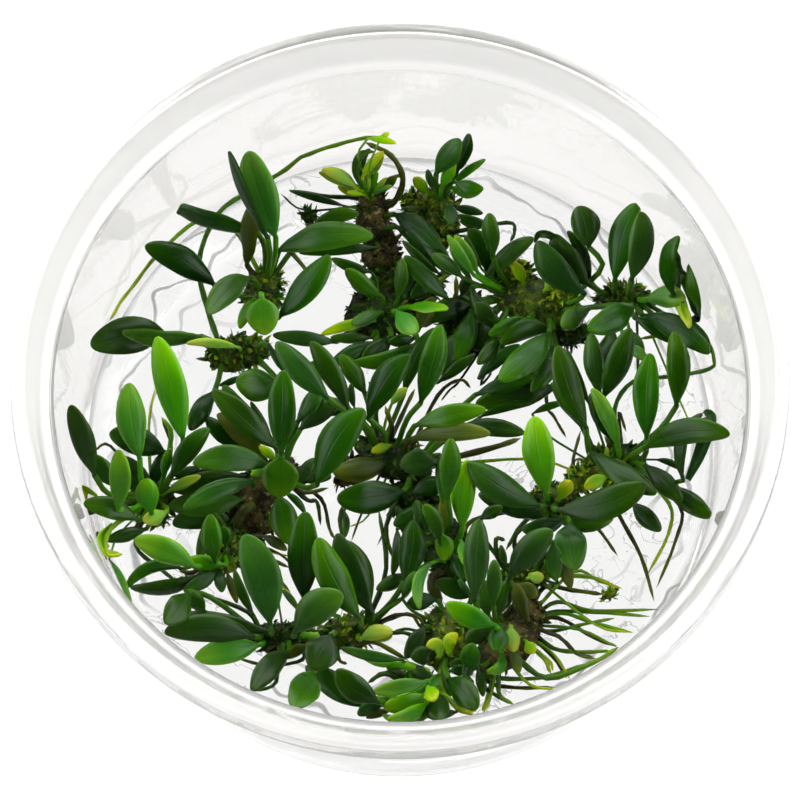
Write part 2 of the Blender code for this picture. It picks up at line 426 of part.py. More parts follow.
            ("lime", 0.32, [(11.6, -36.0, 18.8), (11.3, -38.0, 19), (10.6, -40.0, 19)]),
            ("olive", 0.4, [(17.6, -28.8, 19), (18.8, -23.2, 19), (22.4, -23.6, 19), (26.6, -24.2, 18)]),
            ("lime", 0.26, [(18.0, -26.4, 19.4), (22.6, -21.1, 19), (26.0, -22.4, 18), (29.0, -23.4, 18)]),
        ],
    },
    "centre_front": {
        "rhizome": ((5.8, -17.6), (11.0, 6.2, 4.0), -57),
        "leaves": [
            ("leaf", "fresh", 3.2, 10, 0.2, (8.2, -15.2, 25), (9.0, -5.6, 31)),
            ("shoot", "green", 2.7, -10, 0.0, (6.2, -11.0, 27), (6.7, -2.6, 33), [(6.6, -14.2, 24)]),
            ("shoot", "dark", 2.2, 40, 0.0, (2.5, -17.0, 24), (2.2, -11.2, 28)),
            ("shoot", "green", 2.2, 20, -0.3, (5.2, -17.0, 25), (3.1, -11.8, 29)),
            ("shoot", "fresh", 2.4, 0, 0.0, (5.3, -15.8, 26), (5.9, -19.6, 24)),
            ("shoot", "fresh", 1.8, 30, -0.9, (4.0, -20.0, 24), (2.6, -26.2, 24)),
            ("shoot", "green", 1.9, 0, 0.0, (0.8, -21.4, 22), (-3.1, -23.6, 22)),
            ("shoot", "dark", 2.0, 0, 0.0, (6.8, -18.6, 23), (8.6, -22.4, 23)),
            ("shoot", "fresh", 1.5, 0, 0.0, (8.0, -16.8, 25), (8.5, -20.2, 25)),
            ("shoot", "olive", 1.6, 0, 0.0, (6.0, -15.4, 22), (5.6, -11.0, 23)),
        ],
        "stems": [("olive", 1.0, [(5.6, -20.0, 20), (4.2, -22.6, 20), (5.4, -25.8, 20)])],
    },
    "right_front": {
        "rhizome": ((16.0, -22.0), (6.4, 3.8, 3.4), 10),
        "leaves": [
            ("leaf", "dark", 3.6, -10, 0.3, (14.3, -21.8, 26), (20.0, -15.4, 30)),
            ("shoot", "green", 2.1, 6, 0.0, (20.1, -17.0, 28), (20.4, -22.3, 24)),
            ("shoot", "olive", 2.1, 16, -0.2, (21.0, -17.6, 26), (22.3, -23.3, 22)),
            ("shoot", "lime", 1.5, 0, 0.0, (16.8, -22.0, 22), (18.8, -21.8, 23)),
            ("shoot", "olive", 1.9, 0, 0.0, (15.4, -22.8, 22), (17.8, -24.6, 22)),
            ("shoot", "dark", 1.7, 10, 0.2, (10.6, -13.9, 24), (13.5, -12.2, 25)),
        ],
        "stems": [
            ("dark", 0.4, [(15.0, -21.6, 20), (12.8, -19.2, 22), (12.6, -16.6, 23), (13.8, -16.8, 23)]),
        ],
    },
}


def seen(u, v, z):
    """The point z high on the sight line through the plan point (u, v)."""
    on_plan = Vector((u, v, PLAN_HEIGHT))
    share = (PLAN_EYE.z - z) / (PLAN_EYE.z - PLAN_HEIGHT)
    return PLAN_EYE + (on_plan - PLAN_EYE) * share


def inner_radius(z):
    """Inside radius of the cup's wall at height z, at the middle of a facet."""
    share = (z - WALL_LOW_HEIGHT) / (WALL_TOP_HEIGHT - WALL_LOW_HEIGHT)
    radius = WALL_LOW_RADIUS + (WALL_TOP_RADIUS - WALL_LOW_RADIUS) * min(share, 1.0)
    return radius * math.cos(math.pi / CUP_SIDES)


def gel_top(x, y):
    """Height of the gel's uneven surface, level where it meets the wall."""
    edge = max(0.0, 1.0 - math.hypot(x, y) / GEL_RINGS[-1])
    wave = math.sin(x / 6.0 + 0.4) * math.cos(y / 7.0 - 0.8) + 0.5 * math.sin((x - y) / 4.0)
    return GEL_HEIGHT + GEL_WAVE * wave * min(1.0, 3.0 * edge)


def kept_inside(point, margin):
    """A point moved the least way that keeps it clear of the wall and the gel."""
    limit = inner_radius(point.z) - margin
    radius = math.hypot(point.x, point.y)
    if radius > limit:
        point.x *= limit / radius
        point.y *= limit / radius
    point.z = max(point.z, gel_top(point.x, point.y) + margin)
    return point


def ring_inside(ring, margin):
    """A section moved whole until it is clear of the wall and the gel, which keeps its
    thickness."""
    worst = max(ring, key=lambda corner: math.hypot(corner.x, corner.y) - inner_radius(corner.z))
    shift = kept_inside(worst.copy(), margin) - worst
    shift.z = max(0.0, max(gel_top(corner.x, corner.y) + margin - corner.z for corner in ring))
    return [kept_inside(corner + shift, margin) for corner in ring]


def smooth_path(points, count):
    """Points spaced along a smooth curve through the given points."""
    ends = [2 * points[0] - points[1]] + points + [2 * points[-1] - points[-2]]
    path = []
    for step in range(count):
        place = step / (count - 1) * (len(points) - 1)
        span = min(int(place), len(points) - 2)
        t = place - span
        a, b, c, d = ends[span:span + 4]
        path.append(
            0.5 * (2 * b + (c - a) * t + (2 * a - 5 * b + 4 * c - d) * t**2
                   + (3 * b - a - 3 * c + d) * t**3)
        )
    return path


def across(path, index, roll):
    """Unit side and face directions of a leaf or stem at one point of its path."""
    ahead = path[min(index + 1, len(path) - 1)] - path[max(index - 1, 0)]
    ahead.normalize()
    face = PLAN_EYE - path[index]
    face = (face - ahead * face.dot(ahead)).normalized()
    side = ahead.cross(face)
    turn = math.radians(roll)
    return (
        side * math.cos(turn) + face * math.sin(turn),
        face * math.cos(turn) - side * math.sin(turn),
    )


def blade_width(t):
    """Share of a blade's full width at t from its base (0) to its blunt tip (1)."""
    return max(0.0, math.sin(math.pi * t**0.95)) ** 0.62


def blade_steps(leaf):
    """Where along its blade a leaf has sections: fewer on the small ones."""
    if leaf[0] == "leaf":
        return LEAF_STEPS
    return SHOOT_STEPS if leaf[2] > BUD_WIDTH else BUD_STEPS


def leaf_path(leaf, clump, lift, part):
    """The leaf's petiole and blade paths, raised by lift along the sight lines."""
    bow, base, tip = leaf[4:7]
    via = leaf[7] if len(leaf) > 7 else []
    root = seen(base[0], base[1], base[2] + lift)
    end = seen(tip[0], tip[1], tip[2] + lift)
    blade_run = end - root
    to_eye = (PLAN_EYE - root).normalized()
    sideways = to_eye.cross(blade_run.normalized()).normalized()
    middle = (root + end) / 2 + sideways * bow + Vector((0, 0, 0.09 * blade_run.length))
    blade = [
        root * (1 - t) ** 2 + (2 * middle - (root + end) / 2) * 2 * t * (1 - t) + end * t**2
        for t in blade_steps(leaf)
    ]
    stops = [seen(u, v, z + 0.5 * lift) for u, v, z in reversed(via)] + [root]
    start = growth_point(clump, stops[0])
    if len(stops) == 1:
        knee = root - (blade[1] - root).normalized() * 0.3 * (root - start).length
        stops.insert(0, (knee + start + root) / 3)
    stops.insert(0, start)
    petiole = smooth_path(stops, 3 + len(via))
    if leaf[0] == "shoot" and not via:
        petiole = [petiole[0], petiole[-1]]
    if part < 1:
        whole = smooth_path(stops, 21)
        petiole = whole[round(20 * (1 - part)):]
        petiole = [petiole[0], petiole[len(petiole) // 2], petiole[-1]]
    return petiole, blade


def leaf_shape(leaf, clump, lift, part, extra=0.0):
    """Vertices and faces of one leaf, a thin petiole that opens into a keeled blade, and
    the number of sections in its petiole."""
    width, roll = leaf[2:4]
    steps = blade_steps(leaf)
    petiole, blade = leaf_path(leaf, clump, lift, part)
    path = petiole + blade[1:]
    rings = []
    for index in range(len(path) - 1):
        in_blade = index - (len(petiole) - 1)
        side, face = across(path, index, roll if in_blade > 0 else 0)
        half_side = half_face = PETIOLE_RADIUS + extra
        if in_blade > 0:
            half_side = 0.5 * width * blade_width(steps[in_blade]) + extra
            half_face = 0.5 * BLADE_THICKNESS + extra
        point = path[index]
        rings.append([
            point - side * half_side + face * half_face,
            point - face * half_face,
            point + side * half_side + face * half_face,
        ])
    last = path[-1] - path[-2]
    tip = path[-1] + last.normalized() * extra
    vertices = [corner for ring in rings for corner in ring_inside(ring, GAP)]
    vertices.append(kept_inside(tip, GAP))
    return vertices, tube_faces(len(rings)), len(petiole) - 1


def tube_faces(rings):
    """Faces of a tube of rings, closed by a cap at its start and a point at its end."""
    faces = [list(range(SIDES))]
    for ring in range(rings - 1):
        for side in range(SIDES):
            a = ring * SIDES + side
            b = ring * SIDES + (side + 1) % SIDES
            faces.append([a, a + SIDES, b + SIDES, b])
    last = (rings - 1) * SIDES
    for side in range(SIDES):
        faces.append([last + side, rings * SIDES, last + (side + 1) % SIDES])
    return faces


def stem_sections(points):
    """How many points a stem's path has: few on a long one drawn through many points."""
    return points + 1 if points <= 3 else max(5, round(0.8 * points))


def stem_shape(radius, plan_points, clump):
    """Vertices and faces of a stem or root from a rhizome out, narrowing to its tip."""
    points = [seen(*point) for point in plan_points]
    points[0] = growth_point(clump, points[1])
    path = smooth_path(points, stem_sections(len(points)))
    vertices = []
    for index in range(len(path) - 1):
        side, face = across(path, index, 0)
        size = radius * (1.0 - 0.35 * index / len(path))
        ring = []
        for corner in range(SIDES):
            angle = 2 * math.pi * corner / SIDES
            offset = side * math.cos(angle) - face * math.sin(angle)
            ring.append(path[index] + offset * size)
        vertices += ring_inside(ring, GAP)
    vertices.append(kept_inside(path[-1].copy(), GAP))
    return vertices, tube_faces(len(path) - 1)


def rhizome_centre(clump):
    """Middle of a clump's rhizome, resting on the gel."""
    (u, v), size, _turn = clump["rhizome"]
    centre = seen(u, v, GEL_HEIGHT + size[2] / 2)
    centre.z = gel_top(centre.x, centre.y) + size[2] / 2 + 2 * GAP
    return centre


def growth_point(clump, towards):
    """The point just under the rhizome's skin from which a leaf or root grows."""
    size, turn = clump["rhizome"][1:]
    centre = rhizome_centre(clump)
    along = Vector((math.cos(math.radians(turn)), math.sin(math.radians(turn)), 0))
    reach = 0.5 * (size[0] - size[1])
    spine = centre + along * max(-reach, min(reach, (towards - centre).dot(along)))
    out = (towards - spine).normalized()
    return spine + Vector((out.x * size[1], out.y * size[1], out.z * size[2])) * GROWTH_DEPTH


def rhizome_shape(clump):
    """A lumpy ellipsoid lying on the gel."""
    size, turn = clump["rhizome"][1:]
    centre = rhizome_centre(clump)
    mesh = bmesh.new()
    bmesh.ops.create_uvsphere(mesh, u_segments=6, v_segments=4, radius=1.0)
    cosine, sine = math.cos(math.radians(turn)), math.sin(math.radians(turn))
    vertices = []
    for vertex in mesh.verts:
        x, y, z = vertex.co
        lump = 1.0 + 0.10 * math.sin(5 * x + 3 * z) * math.cos(4 * y)
        x, y, z = x * size[0] / 2 * lump, y * size[1] / 2 * lump, z * size[2] / 2
        vertices.append(centre + Vector((x * cosine - y * sine, x * sine + y * cosine, z)))
    faces = [[vertex.index for vertex in face.verts] for face in mesh.faces]
    mesh.free()
    return vertices, faces


def bounds_of(vertices):
    low = [min(vertex[axis] for vertex in vertices) for axis in range(3)]
    high = [max(vertex[axis] for vertex in vertices) for axis in range(3)]
    return low, high


def blade_of(shape):
    """The blade alone of a leaf's shape."""
    vertices, faces, petiole = shape
    first = petiole * SIDES
    blade = [
        [corner - first for corner in face] for face in faces if min(face) >= first
    ]
    return vertices[first:], blade


class Placed:
    """The pieces set down so far: their nodes, bounds, surfaces and blades."""

    def __init__(self):
        self.pieces = []

    def add(self, node, shape):
        blade = BVHTree.FromPolygons(*blade_of(shape)) if len(shape) > 2 else None
        tree = BVHTree.FromPolygons(*shape[:2])
        self.pieces.append((node, bounds_of(shape[0]), tree, blade))

    def clear(self, node, shape):
        """True where a leaf touches no other node and its blade no blade of its own node."""
        low, high = bounds_of(shape[0])
        whole = blade = None
        for other, (other_low, other_high), other_tree, other_blade in self.pieces:
            apart = any(
                low[axis] > other_high[axis] or high[axis] < other_low[axis] for axis in range(3)
            )
            if apart:
                continue
            if other != node:
                whole = whole or BVHTree.FromPolygons(*shape[:2])
                if whole.overlap(other_tree):
                    return False
            elif other_blade:
                blade = blade or BVHTree.FromPolygons(*blade_of(shape))
                if blade.overlap(other_blade):
                    return False
        return True


def settled_leaf(placed, node, leaf, clump):
    """The lift and petiole length that set a leaf down clear of the pieces below it."""
    parts = (1.0,) if leaf[0] == "shoot" else PETIOLE_PARTS
    tries = []
    for step in range(int(LIFT_MOST / LIFT_STEP)):
        for part in parts:
            tries.append((step * LIFT_STEP + 3.0 * (1 - part), step * LIFT_STEP, part))
    for _cost, lift, part in sorted(tries):
        if max(leaf[5][2], leaf[6][2]) + lift > HIGHEST_LEAF:
            continue
        if placed.clear(node, leaf_shape(leaf, clump, lift, part, extra=GAP)):
            return lift, part
    print("no clear place for a leaf of", node, leaf[5], leaf[6])
    return None


def planting():
    """Every plant shape with its node's name, set down from the lowest to the highest."""
    placed = Placed()
    shapes = {}
    waiting = []
    for name, clump in CLUMPS.items():
        node = "rhizome_" + name
        shapes[node] = [rhizome_shape(clump)]
        placed.add(node, shapes[node][0])
        for tone, radius, points in clump["stems"]:
            shape = stem_shape(radius, points, clump)
            shapes[node].append(shape)
            placed.add(node, shape)
        number = 0
        for leaf in clump["leaves"]:
            own = leaf[0] == "leaf"
            number += own
            leaf_node = f"leaf_{name}_{number}" if own else node
            waiting.append((leaf[5][2] + leaf[6][2] + 4 * own, leaf_node, leaf, name))
    for _height, node, leaf, name in sorted(waiting, key=lambda row: row[0]):
        clump = CLUMPS[name]
        found = settled_leaf(placed, node, leaf, clump)
        if found:
            shape = leaf_shape(leaf, clump, *found)
            shapes.setdefault(node, []).append(shape)
            placed.add(node, shape)
    return shapes


def material(name, colour, roughness, transmission=0.0, ior=1.45):
    made = bpy.data.materials.new(name)
    made.use_nodes = True
    shader = made.node_tree.nodes["Principled BSDF"]
    shader.inputs["Base Color"].default_value = (*colour, 1.0)
    shader.inputs["Roughness"].default_value = roughness
    shader.inputs["Metallic"].default_value = 0.0
    shader.inputs["Transmission Weight"].default_value = transmission
    shader.inputs["IOR"].default_value = ior
    return made


def add_object(name, vertices, faces, surface):
    mesh = bpy.data.meshes.new(name)
    mesh.from_pydata([Vector(vertex) * MM for vertex in vertices], [], faces)
    whole = bmesh.new()
    whole.from_mesh(mesh)
    bmesh.ops.triangulate(whole, faces=whole.faces)
    bmesh.ops.recalc_face_normals(whole, faces=whole.faces)
    if whole.calc_volume(signed=True) < 0:
        bmesh.ops.reverse_faces(whole, faces=whole.faces)
    whole.to_mesh(mesh)
    whole.free()
    mesh.shade_smooth()
    mesh.set_sharp_from_angle(angle=math.radians(35))
    mesh.materials.append(surface)
    made = bpy.data.objects.new(name, mesh)
    bpy.context.scene.collection.objects.link(made)
    return made


def turned(profile, sides):
    """A closed profile of (radius, height) turned round Z; both its ends lie on the axis."""
    vertices = [Vector((0, 0, profile[0][1]))]
    for radius, height in profile[1:-1]:
        for side in range(sides):
            angle = 2 * math.pi * side / sides
            vertices.append(Vector((radius * math.cos(angle), radius * math.sin(angle), height)))
    vertices.append(Vector((0, 0, profile[-1][1])))
    rings = len(profile) - 2
    faces = []
    for side in range(sides):
        after = (side + 1) % sides
        faces.append([0, 1 + after, 1 + side])
        for ring in range(rings - 1):
            low = 1 + ring * sides
            faces.append([low + side, low + after, low + sides + after, low + sides + side])
        last = 1 + (rings - 1) * sides
        faces.append([last + side, last + after, len(vertices) - 1])
    return vertices, faces


def cup_profile():
    """The cup's section, from the middle of the underside round to the middle of the floor."""
    outer_top = WALL_TOP_RADIUS + WALL
    riser = LEDGE_RADIUS + 0.9
    return [
        (0.0, 0.0),
        (BASE_RADIUS - 1.5, 0.0),
        (BASE_RADIUS, 1.5),
        (outer_top, LEDGE_HEIGHT - 1.0),
        (riser + 0.9, LEDGE_HEIGHT - 0.6),
        (RIM_RADIUS - 1.6, CUP_HEIGHT - 1.6),
        (RIM_RADIUS - 0.9, CUP_HEIGHT - 1.6),
        (RIM_RADIUS - 0.9, CUP_HEIGHT - SKIRT_DROP),
        (RIM_RADIUS, CUP_HEIGHT - SKIRT_DROP),
        (RIM_RADIUS, CUP_HEIGHT - 0.5),
        (RIM_RADIUS - 0.5, CUP_HEIGHT),
        (RIM_RADIUS - 1.8, CUP_HEIGHT),
        (riser, LEDGE_HEIGHT + 0.6),
        (LEDGE_RADIUS, LEDGE_HEIGHT),
        (WALL_TOP_RADIUS, WALL_TOP_HEIGHT),
        (WALL_LOW_RADIUS, WALL_LOW_HEIGHT),
        (WALL_LOW_RADIUS - 0.9, FLOOR),
        (0.0, FLOOR),
    ]


def make_cup():
    vertices, faces = turned(cup_profile(), CUP_SIDES)
    surface = material("clear_plastic", (0.93, 0.94, 0.94), 0.08, 1.0, 1.49)
    add_object("cup", vertices, faces, surface)


def make_gel():
    """Clear gel on the cup's floor, its top uneven and its edge against the wall."""
    low = FLOOR + GAP
    edge_low = inner_radius(WALL_LOW_HEIGHT) - 0.9 - GAP
    rings = [(edge_low, None), (inner_radius(4.0) - GAP, 4.0), (inner_radius(GEL_HEIGHT) - GAP, GEL_HEIGHT)]
    vertices = [Vector((0, 0, low))]
    for radius, height in rings:
        vertices += gel_ring(radius, low if height is None else height)
    for radius in reversed(GEL_RINGS):
        vertices += gel_ring(radius, None)
    vertices.append(Vector((0, 0, gel_top(0, 0))))
    count = len(rings) + len(GEL_RINGS)
    faces = []
    for side in range(GEL_SIDES):
        after = (side + 1) % GEL_SIDES
        faces.append([0, 1 + after, 1 + side])
        for ring in range(count - 1):
            start = 1 + ring * GEL_SIDES
            faces.append(
                [start + side, start + after, start + GEL_SIDES + after, start + GEL_SIDES + side]
            )
        last = 1 + (count - 1) * GEL_SIDES
        faces.append([last + side, last + after, len(vertices) - 1])
    add_object("gel", vertices, faces, material("clear_gel", (0.93, 0.95, 0.90), 0.1, 1.0, 1.34))


def gel_ring(radius, height):
    ring = []
    for side in range(GEL_SIDES):
        angle = 2 * math.pi * side / GEL_SIDES
        x, y = radius * math.cos(angle), radius * math.sin(angle)
        ring.append(Vector((x, y, gel_top(x, y) if height is None else height)))
    return ring


def outer_skin_only(mesh):
    """Delete every loose shell but the largest, such as a sealed crevice between shoots."""
    unseen = set(mesh.faces)
    shells = []
    while unseen:
        shell = [unseen.pop()]
        for face in shell:
            beside = {other for edge in face.edges for other in edge.link_faces} & unseen
            unseen -= beside
            shell.extend(beside)
        shells.append(shell)
    shells.sort(key=len)
    for shell in shells[:-1]:
        bmesh.ops.delete(mesh, geom=shell, context="FACES")


def volume_of(mesh):
    measured = bmesh.new()
    measured.from_mesh(mesh)
    volume = measured.calc_volume()
    measured.free()
    return volume


def union_of(name, shapes, surface, solver):
    """One object from overlapping shapes joined one after another, and their summed volume."""
    whole = add_object(name, *shapes[0][:2], surface)
    summed = volume_of(whole.data)
    for shape in shapes[1:]:
        piece = add_object("joining", *shape[:2], surface)
        summed += volume_of(piece.data)
        union = whole.modifiers.new("union", "BOOLEAN")
        union.operation = "UNION"
        union.solver = solver
        union.object = piece
        graph = bpy.context.evaluated_depsgraph_get()
        joined = bpy.data.meshes.new_from_object(whole.evaluated_get(graph))
        whole.modifiers.clear()
        whole.data = joined
        bpy.data.objects.remove(piece)
    return whole, summed


def fused(name, shapes, surface):
    """A clump joined into one closed skin. EXACT loses some of these thin joins, and
    MANIFOLD makes those."""
    for solver in ("EXACT", "MANIFOLD"):
        whole, summed = union_of(name, shapes, surface, solver)
        tidy = bmesh.new()
        tidy.from_mesh(whole.data)
        outer_skin_only(tidy)
        bmesh.ops.triangulate(tidy, faces=tidy.faces)
        closed = all(len(edge.link_faces) == 2 for edge in tidy.edges)
        complete = tidy.calc_volume() > UNION_KEEPS * summed
        tidy.to_mesh(whole.data)
        tidy.free()
        whole.data.name = name
        if closed and complete:
            return
        bpy.data.objects.remove(whole)
    print("no closed join for", name)


def node_tone(node):
    """The colour name of a plant node: its leaf's own, or that of a rhizome's shoots."""
    clump, _mark, number = node.partition("_")[2].rpartition("_")
    if node.startswith("leaf_"):
        leaves = [leaf for leaf in CLUMPS[clump]["leaves"] if leaf[0] == "leaf"]
        return leaves[int(number) - 1][1]
    return "olive"


def make_plants():
    surfaces = {tone: material("plant_" + tone, rgb, 0.35) for tone, rgb in TONES.items()}
    for node, shapes in planting().items():
        fused(node, shapes, surfaces[node_tone(node)])


def main():
    for old in list(bpy.data.objects):
        bpy.data.objects.remove(old, do_unlink=True)
    make_cup()
    make_gel()
    make_plants()


main()
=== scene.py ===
import math
import random

import bmesh
import bpy
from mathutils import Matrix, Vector
from mathutils.bvhtree import BVHTree
from mathutils.noise import noise


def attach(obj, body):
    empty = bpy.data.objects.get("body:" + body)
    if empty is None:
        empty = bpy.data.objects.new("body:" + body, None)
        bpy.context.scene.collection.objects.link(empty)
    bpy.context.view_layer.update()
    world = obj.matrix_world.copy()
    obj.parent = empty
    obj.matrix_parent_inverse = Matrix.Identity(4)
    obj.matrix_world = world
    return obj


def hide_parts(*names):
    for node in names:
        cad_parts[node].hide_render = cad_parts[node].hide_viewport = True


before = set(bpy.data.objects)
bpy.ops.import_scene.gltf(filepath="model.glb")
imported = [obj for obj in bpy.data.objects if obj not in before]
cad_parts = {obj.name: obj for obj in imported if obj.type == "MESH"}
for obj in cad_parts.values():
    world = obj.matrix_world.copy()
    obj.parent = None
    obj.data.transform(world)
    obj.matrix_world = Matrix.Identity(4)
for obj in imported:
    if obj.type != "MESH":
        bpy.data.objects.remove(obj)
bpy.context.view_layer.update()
print("loaded the cup's solids:", len(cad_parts))

mm = 0.001
eye = Vector((0.0, -181.3, 532.6))
planHeight = 27.0

cup = {
    "rimRadius": 50.0, "height": 45.0, "baseRadius": 42.0, "wall": 0.9, "floor": 1.2,
    "foot": 1.5, "step": 1.6, "lip": 0.5, "floorBand": 0.2,
    "skirtDrop": 4.5, "skirtBand": 1.2, "skirtTop": 1.0,
    "ledgeRadius": 45.3, "ledgeHeight": 40.3, "ledgeRise": 0.6,
    "wallTopRadius": 44.8, "wallTopHeight": 39.6, "wallLowRadius": 41.1, "wallLowHeight": 2.4,
    "cadSides": 30, "sides": 160, "rimStart": 39.5, "mapLength": 40.0,
}
gel = {"height": 17.0, "wave": 0.45, "cadRing": 34.0, "gap": 0.35}
leaf = {
    "thickness": 0.36, "petiole": 0.38, "budWidth": 2.6, "highest": 39.0,
    "arch": 0.09, "knee": 0.3, "viaLift": 0.5,
}
settle = {
    "step": 0.4, "most": 14.0, "petioleParts": (1.0, 0.7, 0.4, 0.15), "shortCost": 3.0,
    "ownLater": 4, "pathSpans": 20,
}
leafSteps = (0.0, 0.18, 0.5, 0.85, 1.0)
shootSteps = (0.0, 0.28, 0.75, 1.0)
budSteps = (0.0, 0.45, 1.0)
stemTaper = 0.35
growthDepth = 0.26
cadCorners = 3

